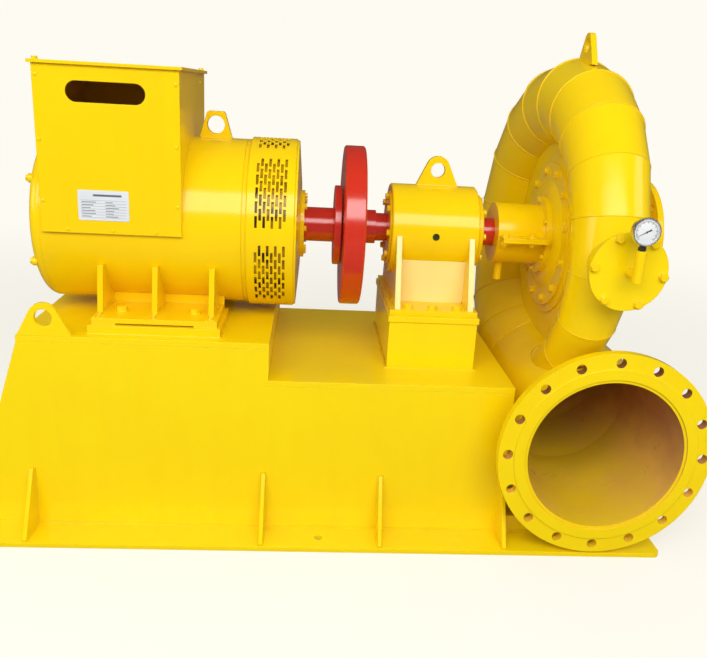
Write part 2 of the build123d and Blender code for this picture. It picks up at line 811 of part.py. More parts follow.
def build():
    save("base_plate", base_plate())
    save("front_panel", side_panel(-1))
    save("back_panel", side_panel(1))
    save("end_plates", end_plates())
    save("upper_deck", deck((DECK_LEFT, STEP_X), UPPER_TOP))
    save("lower_deck", deck((STEP_X, DECK_RIGHT), LOWER_TOP))
    save("gussets", gussets())
    save("lifting_eyes", both_sides(base_eye))
    save("generator_feet", both_sides(generator_foot))
    save("plinth_bars", both_sides(plinth_bar))
    save("generator_frame", generator_frame())
    save("rear_end_cover", rear_end_cover())
    save("ventilation_band", ventilation_band())
    save("drive_end_shield", drive_end_shield())
    save("generator_lug", generator_lug())
    save("terminal_box", terminal_box())
    save("terminal_box_lid", terminal_box_lid())
    save("shaft", shaft())
    save("coupling_disc", coupling_disc())
    save("flywheel", flywheel())
    save("bearing_housing", bearing_housing())
    save("bearing_covers", bearing_covers())
    save("pedestal_frame", pedestal_frame())
    save("pedestal_plinth", pedestal_plinth())
    save("bearing_lug", bearing_lug())
    for number in range(1, SPIRAL_NODES):
        start = FIRST_SEAM + (number - 1) * NODE_ANGLE
        save(f"spiral_segment_{number}", spiral_segment(start, start + NODE_ANGLE))
    save("spiral_tail", spiral_tail())
    save("inlet_pipe", inlet_pipe())
    save("inlet_flange", inlet_flange())
    save("stay_ring", stay_ring())
    save("head_cover", head_cover())
    save("gland_upper_half", gland_half(True))
    save("gland_lower_half", gland_lower_half())
    save("outlet_cone", outlet_cone())
    save("outlet_flange", outlet_flange())
    save("case_lug", case_lug())
    save("hand_hole_neck", hand_hole_neck())
    save("hand_hole_cover", hand_hole_cover())
    save("gauge_pipe", gauge_pipe())
    save("pressure_gauge", pressure_gauge())


build()
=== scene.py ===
# %% [markdown]
# # A hydroelectric generating set in yellow paint
# Water enters this small turbine through the big flange at the front, runs round the welded spiral case
# and leaves along the shaft. The shaft passes a bearing and a red flywheel and turns the generator.
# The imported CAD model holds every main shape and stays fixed. This file dresses it: camera and light,
# paint, bolts, weld beads, a gauge and a nameplate. The first cell loads the frame and keeps its box.

import math
import random

import bmesh
import bpy
from mathutils import Matrix, Vector


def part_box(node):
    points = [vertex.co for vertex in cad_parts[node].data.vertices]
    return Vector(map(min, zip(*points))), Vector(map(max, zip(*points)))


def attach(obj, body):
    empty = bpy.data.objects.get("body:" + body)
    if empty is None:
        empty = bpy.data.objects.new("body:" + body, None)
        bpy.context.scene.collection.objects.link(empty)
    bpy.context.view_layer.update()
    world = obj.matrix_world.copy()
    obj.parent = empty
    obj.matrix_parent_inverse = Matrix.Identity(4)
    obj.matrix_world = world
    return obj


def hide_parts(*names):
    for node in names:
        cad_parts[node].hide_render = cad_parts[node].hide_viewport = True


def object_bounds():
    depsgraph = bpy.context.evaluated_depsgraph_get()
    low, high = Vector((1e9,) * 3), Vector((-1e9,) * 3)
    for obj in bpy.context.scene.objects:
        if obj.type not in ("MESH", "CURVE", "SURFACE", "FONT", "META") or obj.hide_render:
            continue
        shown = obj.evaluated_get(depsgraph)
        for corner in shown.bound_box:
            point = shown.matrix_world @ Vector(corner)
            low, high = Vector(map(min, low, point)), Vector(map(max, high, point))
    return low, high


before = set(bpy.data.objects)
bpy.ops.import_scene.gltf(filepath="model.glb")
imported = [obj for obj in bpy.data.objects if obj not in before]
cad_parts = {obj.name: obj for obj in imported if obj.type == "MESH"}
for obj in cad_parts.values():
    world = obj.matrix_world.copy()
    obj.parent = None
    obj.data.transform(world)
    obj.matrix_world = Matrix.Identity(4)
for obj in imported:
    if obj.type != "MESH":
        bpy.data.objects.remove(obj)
CAD_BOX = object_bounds()
STILL = "set"

# %% [markdown]
# ## Camera
# The photograph was taken from the front, a little left of the middle and above the shaft. The place,
# the three angles and the lens were fitted to the inlet flange, whose size is a standard one. A camera
# looks straight down at first. It is rolled about its view, tipped up, and turned to the right.

# %% Camera
CAMERA_PLACE = Vector((-0.0369, -2.1893, 1.1678))
CAMERA_RIGHT = 3.893
CAMERA_DOWN = 17.359
CAMERA_ROLL = 3.197
LENS_MM = 38.74
SHIFT_X = -0.002


def photo_camera():
    data = bpy.data.cameras.new("photo_camera")
    data.lens = LENS_MM
    data.shift_x = SHIFT_X
    camera = bpy.data.objects.new("photo_camera", data)
    matrix = Matrix.Translation(CAMERA_PLACE)
    for degrees, axis in ((-CAMERA_RIGHT, "Z"), (90 - CAMERA_DOWN, "X"), (CAMERA_ROLL, "Z")):
        matrix = matrix @ Matrix.Rotation(math.radians(degrees), 4, axis)
    camera.matrix_world = matrix
    bpy.context.scene.collection.objects.link(camera)
    bpy.context.scene.camera = camera
    return camera


camera = photo_camera()
print("Camera stands at", tuple(round(value, 3) for value in camera.location))

# %% [markdown]
# ## Helpers for node trees
# A node tree is easier to read when each node is one line. `add` makes a node, sets its properties and
# fills its inputs, with a plain value or with a link. `calc` and `vector_calc` do one step of
# arithmetic, and the others are short names for the steps and nodes that nearly every paint needs.

# %% Node helpers
NUMBER_OPERATIONS = ("LENGTH", "DISTANCE", "DOT_PRODUCT")


def add(tree, kind, settings=(), inputs=()):
    """New node with its properties set and its inputs filled or linked."""
    node = tree.nodes.new(kind)
    for name, value in dict(settings).items():
        setattr(node, name, value)
    for key, value in dict(inputs).items():
        if isinstance(value, bpy.types.NodeSocket):
            tree.links.new(value, node.inputs[key])
        else:
            node.inputs[key].default_value = value
    return node


def calc(tree, operation, *values, clamp=False):
    settings = {"operation": operation, "use_clamp": clamp}
    return add(tree, "ShaderNodeMath", settings, enumerate(values)).outputs[0]


def times(tree, first, second, clamp=False):
    return calc(tree, "MULTIPLY", first, second, clamp=clamp)


def scaled(tree, value, factor, offset):
    return calc(tree, "MULTIPLY_ADD", value, factor, offset)


def above(tree, value, limit):
    return calc(tree, "GREATER_THAN", value, limit)


def below(tree, value, limit):
    return calc(tree, "LESS_THAN", value, limit)


def vector_calc(tree, operation, *values):
    """Lengths, distances and dot products give a number, the other operations a vector."""
    node = add(tree, "ShaderNodeVectorMath", {"operation": operation}, enumerate(values))
    return node.outputs["Value" if operation in NUMBER_OPERATIONS else "Vector"]


def split(tree, vector):
    return tuple(add(tree, "ShaderNodeSeparateXYZ", (), {0: vector}).outputs)


def join(tree, *values):
    return add(tree, "ShaderNodeCombineXYZ", (), enumerate(values)).outputs[0]


def remap(tree, value, low, high, kind="LINEAR"):
    """0 up to the lower limit, 1 from the upper one on."""
    inputs = {"Value": value, "From Min": low, "From Max": high}
    return add(tree, "ShaderNodeMapRange", {"interpolation_type": kind}, inputs).outputs["Result"]


def between(tree, value, low, high):
    """1 where a value lies between two limits."""
    return times(tree, above(tree, value, low), below(tree, value, high))


def mix_color(tree, factor, first, second):
    settings = {"data_type": "RGBA", "clamp_factor": True}
    return add(tree, "ShaderNodeMix", settings, {0: factor, 6: first, 7: second}).outputs[2]


def noise(tree, vector, scale, detail=2.0, roughness=0.5):
    inputs = {"Vector": vector, "Scale": scale, "Detail": detail, "Roughness": roughness}
    return add(tree, "ShaderNodeTexNoise", (), inputs).outputs["Fac"]


def place(tree):
    """The piece's own coordinates, which turn with it."""
    return add(tree, "ShaderNodeTexCoord").outputs["Object"]


def surface_normal(tree):
    return add(tree, "ShaderNodeNewGeometry").outputs["Normal"]


def new_material(name):
    material = bpy.data.materials.new(name)
    material.use_nodes = True
    material.node_tree.nodes.clear()
    return material, material.node_tree


print("Helpers ready, from add to new_material")

# %% [markdown]
# ## Studio
# The photograph has a cream backdrop with no horizon and hardly a shadow. The world shows cream to the
# camera and faintly to reflections, while a neutral light falls on the object. The floor glows a little
# for the same rays, and its diffuse part takes the object's shadow. Far out it is all glow, so that it
# meets the backdrop with no line. Under the base plate it has none, which paints shade there, so that
# holes look dark. Reflections see its diffuse part dimmed, because the paint in the photograph mirrors
# no white floor.

# %% Backdrop and floor
WHITE = (1, 1, 1, 1)
BLACK = (0, 0, 0, 1)
BACKDROP = (0.99, 0.965, 0.885, 1)
AMBIENT = 0.40
IN_REFLECTIONS = 0.08
FLOOR_GLOW = 0.60
# Half length and width of the base plate, where the floor's glow is cut out as painted shade
FOOTPRINT = (0.94, 0.44)
FLOOR_ALBEDO = (0.42, 0.41, 0.375, 1)
FLOOR_HALF = 30.0
FLOOR_FADE = (1.6, 5.0)
FLOOR_DIMMED = 0.75


def seen_directly(tree):
    """1 for camera and transmission rays, less for glossy rays and 0 for all others."""
    path = add(tree, "ShaderNodeLightPath").outputs
    glossy = times(tree, path["Is Glossy Ray"], IN_REFLECTIONS)
    seen = calc(tree, "MAXIMUM", path["Is Camera Ray"], glossy)
    return calc(tree, "MAXIMUM", seen, path["Is Transmission Ray"])


def studio_world():
    world = bpy.data.worlds.new("studio")
    world.use_nodes = True
    tree = world.node_tree
    tree.nodes.clear()
    lit = add(tree, "ShaderNodeBackground", (), {"Color": WHITE, "Strength": AMBIENT})
    strength = seen_directly(tree)
    seen = add(tree, "ShaderNodeBackground", (), {"Color": BACKDROP, "Strength": strength})
    shown = above(tree, strength, 0.0)
    both = add(tree, "ShaderNodeMixShader", (), {0: shown, 1: lit.outputs[0], 2: seen.outputs[0]})
    add(tree, "ShaderNodeOutputWorld", (), {"Surface": both.outputs[0]})
    bpy.context.scene.world = world


def floor_paint():
    material, tree = new_material("studio_floor")
    fade = remap(tree, vector_calc(tree, "LENGTH", place(tree)), *FLOOR_FADE, "SMOOTHSTEP")
    seen = seen_directly(tree)
    x, y = split(tree, place(tree))[:2]
    # Painted shade: no glow over the base plate's footprint
    beside = above(tree, calc(tree, "ABSOLUTE", x), FOOTPRINT[0])
    before = above(tree, calc(tree, "ABSOLUTE", y), FOOTPRINT[1])
    strength = scaled(tree, fade, 1 - FLOOR_GLOW, FLOOR_GLOW)
    strength = times(tree, strength, calc(tree, "MAXIMUM", beside, before))
    strength = times(tree, strength, seen)
    glow = add(tree, "ShaderNodeEmission", (), {"Color": BACKDROP, "Strength": strength})
    matt = add(tree, "ShaderNodeBsdfDiffuse", (), {"Color": FLOOR_ALBEDO})
    dark = add(tree, "ShaderNodeBsdfDiffuse", (), {"Color": BLACK})
    mirrored = add(tree, "ShaderNodeLightPath").outputs["Is Glossy Ray"]
    dimmed = times(tree, mirrored, FLOOR_DIMMED)
    gone = calc(tree, "MAXIMUM", times(tree, fade, seen), dimmed)
    body = add(tree, "ShaderNodeMixShader", (), {0: gone, 1: matt.outputs[0], 2: dark.outputs[0]})
    both = add(tree, "ShaderNodeAddShader", (), {0: glow.outputs[0], 1: body.outputs[0]})
    add(tree, "ShaderNodeOutputMaterial", (), {"Surface": both.outputs[0]})
    return material


def studio_floor():
    corners = [(x * FLOOR_HALF, y * FLOOR_HALF, 0) for x, y in ((-1, -1), (1, -1), (1, 1), (-1, 1))]
    mesh = bpy.data.meshes.new("floor")
    mesh.from_pydata(corners, [], [(0, 1, 2, 3)])
    mesh.materials.append(floor_paint())
    floor = bpy.data.objects.new("floor", mesh)
    bpy.context.scene.collection.objects.link(floor)


bpy.context.scene.view_settings.view_transform = "Standard"
studio_world()
studio_floor()
print("Backdrop and floor made")

# %% [markdown]
# ## Lamps
# Gloss paint tells where its lights stand. The bright bands along the generator, the flywheel and the
# bearing, and the bright patch on the case, all mirror directions 20 to 48 degrees above the horizon.
# One large softbox in front fills that range. Three weak ones lift the sides that it misses, and the
# back one is kept out of reflections, where the decks would show it. Each lamp's power follows from the
# brightness that a mirror would show and from its area.

# %% Lamps
# Place, width and height, and brightness of each lamp
LAMPS = {
    "front_softbox": ((-0.1, -4.0, 3.35), (6.4, 2.3), 4.6),
    "left_fill": ((-4.2, -1.6, 2.0), (2.2, 1.6), 2.5),
    "right_fill": ((4.4, -1.2, 2.6), (2.0, 1.6), 2.0),
    "back_fill": ((0.4, 4.4, 3.1), (4.0, 1.6), 1.3),
}
LAMP_AIM = Vector((0.1, -0.2, 0.9))
UNMIRRORED = "back_fill"


def softbox(name, spot, size, brightness):
    data = bpy.data.lights.new(name, "AREA")
    data.shape = "RECTANGLE"
    data.size, data.size_y = size
    data.energy = brightness * math.pi * size[0] * size[1]
    lamp = bpy.data.objects.new(name, data)
    lamp.location = spot
    lamp.rotation_euler = (LAMP_AIM - Vector(spot)).to_track_quat("-Z", "Y").to_euler()
    lamp.visible_glossy = name != UNMIRRORED
    bpy.context.scene.collection.objects.link(lamp)
    print(name, "of", size, "metres")


for name, (spot, size, brightness) in LAMPS.items():
    softbox(name, spot, size, brightness)

# %% [markdown]
# ## Shared effects as node groups
# Paint on sheet metal shows the same few things everywhere: a soft edge instead of a knife edge, a
# faint orange peel, slow waves in hand-made plate, and tones that drift. Each is a group, built once,
# with its own inputs, and every paint uses it with its own values.

# %% A group with named sockets
FLOAT = "NodeSocketFloat"
COLOR = "NodeSocketColor"
VECTOR = "NodeSocketVector"


def new_group(name, inputs, outputs):
    """Empty group with its sockets. Inputs are (name, kind, value), outputs are (name, kind)."""
    group = bpy.data.node_groups.new(name, "ShaderNodeTree")
    for label, kind, value in inputs:
        group.interface.new_socket(name=label, in_out="INPUT", socket_type=kind).default_value = value
    for label, kind in outputs:
        group.interface.new_socket(name=label, in_out="OUTPUT", socket_type=kind)
    return group


def given(group):
    """The group's inputs, by their names."""
    return add(group, "NodeGroupInput").outputs


def give_out(group, **outputs):
    """Links the group's outputs and hands it back."""
    add(group, "NodeGroupOutput", (), outputs)
    print("Group:", group.name)
    return group


def use(tree, group, **values):
    """The group placed in a material, with its values given by socket name."""
    inputs = {label.replace("_", " "): value for label, value in values.items()}
    return add(tree, "ShaderNodeGroup", {"node_tree": group}, inputs).outputs


print("Group helpers ready: new_group, given, give_out, use")

# %% [markdown]
# ### Rounded edges
# The CAD edges are sharp, but flame-cut plate is ground and painted, so real edges catch a thin line of
# light. The Bevel node bends the normal near each edge. How far it bends is also a mask of the edges,
# where paint lies thin.

# %% Rounded edges
BEVEL_SAMPLES = 6
EDGE_GAIN = 5


def rounded_edges_group():
    group = new_group("rounded_edges", [("Radius", FLOAT, 0.002)], [("Normal", VECTOR), ("Edge", FLOAT)])
    radius = given(group)["Radius"]
    bevel = add(group, "ShaderNodeBevel", {"samples": BEVEL_SAMPLES}, {"Radius": radius}).outputs[0]
    same = vector_calc(group, "DOT_PRODUCT", bevel, surface_normal(group))
    edge = times(group, calc(group, "SUBTRACT", 1, same), EDGE_GAIN, clamp=True)
    return give_out(group, Normal=bevel, Edge=edge)


ROUNDED_EDGES = rounded_edges_group()

# %% [markdown]
# ### Sprayed paint
# Gloss enamel from a spray gun is never one colour. Large soft patches differ with the thickness of the
# coat, thin vertical streaks show where it began to run, and edges are a shade lighter or darker. Its
# height has fine orange peel over the slow waves of the plate below.

# %% Sprayed paint
PEEL_SCALE = 260.0
PEEL_HEIGHT = 0.045
WAVE_SCALE = 9.0
SPECK_SCALE = 90.0
PATCH_SCALE = 3.2
PATCH_SHARE = 0.65
DRIFT_RANGE = (0.38, 0.66)
GLOSS_DRIFT = 0.14
STREAK_STRETCH = (26.0, 26.0, 2.2)


def sprayed_paint_group():
    numbers = {"Edge": 0.0, "Variation": 0.5, "Gloss Roughness": 0.2, "Waves": 1.0}
    group = new_group(
        "sprayed_paint",
        [(label, COLOR, WHITE) for label in ("Paint", "Thin Coat", "Edge Tone")]
        + [(label, FLOAT, value) for label, value in numbers.items()],
        [("Color", COLOR), ("Roughness", FLOAT), ("Height", FLOAT)],
    )
    inputs = given(group)
    spot = place(group)
    patches = noise(group, spot, PATCH_SCALE, 4.0, 0.55)
    streaks = noise(group, vector_calc(group, "MULTIPLY", spot, STREAK_STRETCH), 1.0)
    drift = scaled(group, streaks, 1 - PATCH_SHARE, times(group, patches, PATCH_SHARE))
    thinness = times(group, remap(group, drift, *DRIFT_RANGE), inputs["Variation"])
    color = mix_color(group, thinness, inputs["Paint"], inputs["Thin Coat"])
    specks = scaled(group, noise(group, spot, SPECK_SCALE, 3.0, 0.6), 0.8, 0.1)
    worn = times(group, inputs["Edge"], specks, clamp=True)
    color = mix_color(group, worn, color, inputs["Edge Tone"])
    uneven = scaled(group, patches, GLOSS_DRIFT, -GLOSS_DRIFT / 2)
    roughness = calc(group, "ADD", inputs["Gloss Roughness"], uneven, clamp=True)
    waves = times(group, noise(group, spot, WAVE_SCALE), inputs["Waves"])
    height = scaled(group, noise(group, spot, PEEL_SCALE, 1.0), PEEL_HEIGHT, waves)
    return give_out(group, Color=color, Roughness=roughness, Height=height)


SPRAYED_PAINT = sprayed_paint_group()

# %% [markdown]
# ### Inside of the case
# The outside of the case is bright, but inside a dull olive and red-brown primer shows, with painted
# shade that darkens it towards the top. One CAD node has both faces, so a mask tells them apart: on the
# inside the normal points to the middle of the passage. That middle is the pipe's axis in front, and a
# ring round the shaft behind it.

# %% Inside mask
SHAFT_Z = 0.795
CASE_X = 0.75
INLET_Z = 0.300
INLET_RADIUS = 0.213
MEAN_RING = 0.424
RING_SHIFT = 0.0715
RING_SHIFT_ANGLE = math.radians(40)
WALL_MARGIN = 0.03
WALL_LEAN = 0.3
FLANGE_BACK_Y = -0.4235
FLANGE_RIM = 0.08
BOLT_CIRCLE_R = 0.2575
BOLT_HOLE_R = 0.0136


def toward_middle(tree, spot, middle):
    """Negative where a face looks towards the middle of the passage."""
    out = vector_calc(tree, "SUBTRACT", spot, middle)
    return vector_calc(tree, "DOT_PRODUCT", surface_normal(tree), out)


def along_pipe(tree):
    """1 on walls that run along the inlet pipe, such as those of a bolt hole."""
    return below(tree, calc(tree, "ABSOLUTE", split(tree, surface_normal(tree))[1]), WALL_LEAN)


def case_inside_group():
    group = new_group("case_inside", [], [("Mask", FLOAT)])
    spot = place(group)
    y, z = split(group, spot)[1:]
    pipe_middle = join(group, CASE_X, y, INLET_Z)
    away = vector_calc(group, "NORMALIZE", join(group, 0, y, calc(group, "SUBTRACT", z, SHAFT_Z)))
    lean = (0, math.sin(RING_SHIFT_ANGLE) * RING_SHIFT, -math.cos(RING_SHIFT_ANGLE) * RING_SHIFT)
    reach = calc(group, "ADD", vector_calc(group, "DOT_PRODUCT", away, lean), MEAN_RING)
    ring_middle = vector_calc(group, "MULTIPLY_ADD", away, reach, (CASE_X, 0, SHAFT_Z))
    at_flange = below(group, y, FLANGE_BACK_Y)
    pipe_top = scaled(group, at_flange, FLANGE_RIM, INLET_Z + INLET_RADIUS)
    in_pipe = times(group, below(group, y, 0.0), below(group, z, pipe_top))
    pipe_side = below(group, toward_middle(group, spot, pipe_middle), -WALL_MARGIN)
    ring_side = below(group, toward_middle(group, spot, ring_middle), -WALL_MARGIN)
    mask = scaled(group, in_pipe, calc(group, "SUBTRACT", pipe_side, ring_side), ring_side)
    # The walls of the flange's bolt holes take the same primer and painted shade
    across = vector_calc(group, "DISTANCE", spot, pipe_middle)
    on_circle = calc(group, "COMPARE", across, BOLT_CIRCLE_R, BOLT_HOLE_R)
    in_hole = times(group, times(group, on_circle, at_flange), along_pipe(group))
    return give_out(group, Mask=calc(group, "MAXIMUM", mask, in_hole))


CASE_INSIDE = case_inside_group()

# %% [markdown]
# ### Primer and painted shade in the passage
# The bottom of the passage is olive yellow and glossy, the middle a dirty gold, and the top a dark
# red-brown. Part of that is overspray from the mouth and bare primer behind it, and part is painted
# shade, darker towards the top. A colour ramp over the height gives it, and noise breaks up its bands.

# %% Primer in the passage
# Primer colours up the passage, with painted shade: the tones darken towards the top
PRIMER_AND_SHADE_TONES = ((0.0, (0.92, 0.62, 0.020)), (0.28, (0.88, 0.50, 0.090)), (0.60, (0.50, 0.21, 0.095)),
                (1.0, (0.26, 0.09, 0.050)))
BLOTCH = 0.5


def ramp(tree, factor, tones):
    node = add(tree, "ShaderNodeValToRGB", (), {"Fac": factor})
    elements = node.color_ramp.elements
    while len(elements) < len(tones):
        elements.new(0.5)
    for element, (position, tone) in zip(elements, tones):
        element.position = position
        element.color = (*tone, 1)
    return node.outputs["Color"]


def primer_and_shade_group():
    group = new_group("passage_primer_and_shade", [], [("Color", COLOR), ("Roughness", FLOAT)])
    spot = place(group)
    level = remap(group, split(group, spot)[2], INLET_Z - INLET_RADIUS, INLET_Z + INLET_RADIUS)
    blotch = scaled(group, noise(group, spot, 6.0, 5.0, 0.6), BLOTCH, -BLOTCH / 2)
    # Painted shade: the colour darkens with height inside the passage
    color = ramp(group, calc(group, "ADD", level, blotch, clamp=True), PRIMER_AND_SHADE_TONES)
    roughness = scaled(group, noise(group, spot, 14.0, 3.0), 0.3, 0.18)
    return give_out(group, Color=color, Roughness=roughness)


PRIMER_AND_SHADE = primer_and_shade_group()

# %% [markdown]
# ## Paints
# Every paint is one material: the groups give its colour, roughness and height, and the shader's own
# sockets hold what is the same all over. The generator's yellow is deep and a little orange. The base
# was sprayed from another batch, which is a shade nearer to lemon, and the case lies between the two.

# %% One coat of gloss
BUMP_DISTANCE = 0.0011
PAINT_SPECULAR = 0.40


def finish_shader(tree, color, roughness, normal, settings):
    """The Principled shader and the output, with the constants on the shader's own sockets."""
    inputs = {"Base Color": color, "Roughness": roughness, "Normal": normal, **settings}
    shader = add(tree, "ShaderNodeBsdfPrincipled", (), inputs)
    add(tree, "ShaderNodeOutputMaterial", (), {"Surface": shader.outputs[0]})


def raised(tree, height, normal, strength):
    inputs = {"Height": height, "Normal": normal, "Strength": strength, "Distance": BUMP_DISTANCE}
    return add(tree, "ShaderNodeBump", (), inputs).outputs[0]


def sprayed(tree, tones, edge, variation, gloss, waves):
    """Colour, roughness and height of the coat, from the tones of a full coat, a thin one and an edge."""
    paint, thin, edge_tone = tones
    coat = use(tree, SPRAYED_PAINT, Paint=paint, Thin_Coat=thin, Edge_Tone=edge_tone, Edge=edge,
               Variation=variation, Gloss_Roughness=gloss, Waves=waves)
    return coat["Color"], coat["Roughness"], coat["Height"]


def gloss_paint(name, tones, gloss=0.15, waves=1.0, variation=0.55, radius=0.002, strength=0.5,
                specular=PAINT_SPECULAR, change=None, marks=None):
    """Enamel over steel. A change repaints part of it, and marks are a group that adds height."""
    material, tree = new_material(name)
    edges = use(tree, ROUNDED_EDGES, Radius=radius)
    color, roughness, height = sprayed(tree, tones, edges["Edge"], variation, gloss, waves)
    if change:
        color, roughness = change(tree, color, roughness)
    if marks:
        height = calc(tree, "ADD", height, use(tree, marks)["Height"])
    normal = raised(tree, height, edges["Normal"], strength)
    finish_shader(tree, color, roughness, normal, {"Specular IOR Level": specular})
    print("Paint:", material.name)
    return material


YELLOW_EDGE = (0.98, 0.74, 0.012, 1)
YELLOW = ((0.97, 0.665, 0.0025, 1), (0.94, 0.60, 0.002, 1), YELLOW_EDGE)
CASE_YELLOW = ((0.97, 0.680, 0.003, 1), (0.94, 0.62, 0.0025, 1), YELLOW_EDGE)
LEMON = ((0.97, 0.715, 0.003, 1), (0.94, 0.65, 0.0025, 1), YELLOW_EDGE)
yellow_paint = gloss_paint("yellow_enamel", YELLOW)
lemon_paint = gloss_paint("lemon_enamel", LEMON, waves=1.4, variation=0.5)

# %% [markdown]
# ### Red enamel on the rotor
# Everything that turns is red, as a warning. The shaft and the flywheel were turned on a lathe, so fine
# rings still show through the paint. They follow the distance from the shaft line on flat faces, and
# the place along it on round ones, and both at once make the same fine thread.

# %% Red enamel
RED = ((0.66, 0.030, 0.010, 1), (0.58, 0.020, 0.008, 1), (0.72, 0.060, 0.020, 1))
TURNING_PITCH = 0.0016
TURNING_DEPTH = 0.03


def turned_marks_group():
    group = new_group("turned_marks", [("Pitch", FLOAT, TURNING_PITCH)], [("Height", FLOAT)])
    x, y, z = split(group, place(group))
    radius = vector_calc(group, "LENGTH", join(group, y, calc(group, "SUBTRACT", z, SHAFT_Z)))
    turns = calc(group, "DIVIDE", calc(group, "ADD", radius, x), given(group)["Pitch"])
    wave = calc(group, "SINE", times(group, turns, 2 * math.pi))
    return give_out(group, Height=times(group, wave, TURNING_DEPTH))


TURNED_MARKS = turned_marks_group()
red_paint = gloss_paint("red_enamel", RED, gloss=0.18, waves=0.4, variation=0.6, radius=0.0025, strength=0.4,
                        specular=0.95, marks=TURNED_MARKS)

# %% [markdown]
# ### Case paint and dark core
# The case and its flange take the paint outside, and inside the primer with painted shade. The generator's
# frame is yellow on its housing, and inside the slotted band its core is dark, with yellow overspray behind
# some slots.
# The pedestal under the bearing has a painted reflection on its front: a pale cream sheen in its colour.

# %% Case and core
CORE_START_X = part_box("ventilation_band")[0].x + 0.0005
BEARING_FOOT_T = 0.014
FOOT_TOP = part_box("pedestal_plinth")[1].z + BEARING_FOOT_T
# Pale cream of the painted reflection on the pedestal's front
PAINTED_SHEEN_TONE = (0.97, 0.85, 0.42, 1)
LOOKS_FORWARD = -0.9
CORE_TONES = ((0.0, (0.030, 0.014, 0.004)), (0.42, (0.085, 0.042, 0.008)), (0.50, (0.45, 0.26, 0.008)),
              (1.0, (0.97, 0.66, 0.006)))


def primer_and_shade_inside(tree, color, roughness):
    mask = use(tree, CASE_INSIDE)["Mask"]
    primer_with_shade = use(tree, PRIMER_AND_SHADE)
    rougher = calc(tree, "SUBTRACT", primer_with_shade["Roughness"], roughness)
    return mix_color(tree, mask, color, primer_with_shade["Color"]), scaled(tree, mask, rougher, roughness)


def dark_core(tree, color, roughness):
    spot = place(tree)
    mask = above(tree, split(tree, spot)[0], CORE_START_X)
    return mix_color(tree, mask, color, ramp(tree, noise(tree, spot, 16.0), CORE_TONES)), roughness


def painted_front_sheen(tree, color, roughness):
    """Painted reflection: a pale cream sheen on the faces above the foot that look forward."""
    spot = place(tree)
    forward = below(tree, split(tree, surface_normal(tree))[1], LOOKS_FORWARD)
    over_foot = above(tree, split(tree, spot)[2], FOOT_TOP)
    cloud = scaled(tree, noise(tree, spot, 7.0, 3.0), 0.5, 0.35)
    # Painted reflection: faces that look forward are mixed towards pale cream
    painted_sheen = times(tree, times(tree, forward, over_foot), cloud)
    return mix_color(tree, painted_sheen, color, PAINTED_SHEEN_TONE), roughness


# Case and flange: primer with painted shade on the inside
case_paint = gloss_paint("case_enamel", CASE_YELLOW, waves=1.5, change=primer_and_shade_inside)
flange_paint = gloss_paint("flange_enamel", LEMON, waves=1.5, change=primer_and_shade_inside)
frame_paint = gloss_paint("frame_enamel", YELLOW, waves=0.6, change=dark_core)
# The pedestal's paint carries a painted reflection on its front
pedestal_paint = gloss_paint("pedestal_enamel", YELLOW, change=painted_front_sheen)

# %% [markdown]
# ## Dress the CAD nodes
# A node keeps its shape and gets a better material in its slots. The case and the inlet flange carry
# both finishes, the rotor is red and the base is lemon. The generator's frame and the bearing's
# pedestal have paints of their own, and the rest is yellow.

# %% Dress the nodes
SPIRAL = [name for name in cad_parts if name.startswith("spiral_")]
PAINTED = (
    (case_paint, [*SPIRAL, "inlet_pipe", "stay_ring"]),
    (lemon_paint, ["base_plate", "front_panel", "back_panel", "end_plates", "upper_deck", "lower_deck",
                   "gussets", "lifting_eyes", "pedestal_plinth", "hand_hole_cover", "hand_hole_neck"]),
    (red_paint, ["shaft", "coupling_disc", "flywheel"]),
    (flange_paint, ["inlet_flange"]),
    (frame_paint, ["generator_frame"]),
    (pedestal_paint, ["pedestal_frame"]),
)
PAINT_OF = {name: paint for paint, names in PAINTED for name in names}

for name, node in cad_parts.items():
    node.data.materials.clear()
    node.data.materials.append(PAINT_OF.get(name, yellow_paint))
print("Dressed nodes:", len(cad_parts))

# %% [markdown]
# ## Turning a profile into a mesh
# Washers, screws and the gauge's rim are all turned parts. `lathe` spins a list of (radius, height)
# points round an axis, and `skin` closes the rings that it makes. Edges sharper than 30 degrees are
# marked sharp, and the rest is shaded smooth.

# %% Lathe helper
SHARP = math.radians(30)


def axis_frame(origin, direction, turn=0.0):
    """Matrix that puts local Z along a direction, at a place, turned about that direction."""
    matrix = Vector(direction).to_track_quat("Z", "Y").to_matrix().to_4x4()
    matrix.translation = Vector(origin)
    return matrix @ Matrix.Rotation(turn, 4, "Z")


def around(radius, count, start_degrees=0.0):
    """Pairs of offsets evenly spaced on a circle, the first at a given angle."""
    for index in range(count):
        angle = math.radians(start_degrees) + 2 * math.pi * index / count
        yield radius * math.cos(angle), radius * math.sin(angle)


def skin(bm, rings):
    """Quads between neighbouring rings of the same count, and a face over each end."""
    count = len(rings[0])
    for low, high in zip(rings, rings[1:]):
        for step in range(count):
            after = (step + 1) % count
            bm.faces.new((low[step], low[after], high[after], high[step]))
    bm.faces.new(list(reversed(rings[0])))
    bm.faces.new(rings[-1])


def lathe(bm, matrix, profile, steps=24):
    """Spins (radius, height) points round local Z and closes both ends."""
    rings = []
    for radius, height in profile:
        rings.append([bm.verts.new(matrix @ Vector((x, y, height))) for x, y in around(radius, steps)])
    skin(bm, rings)


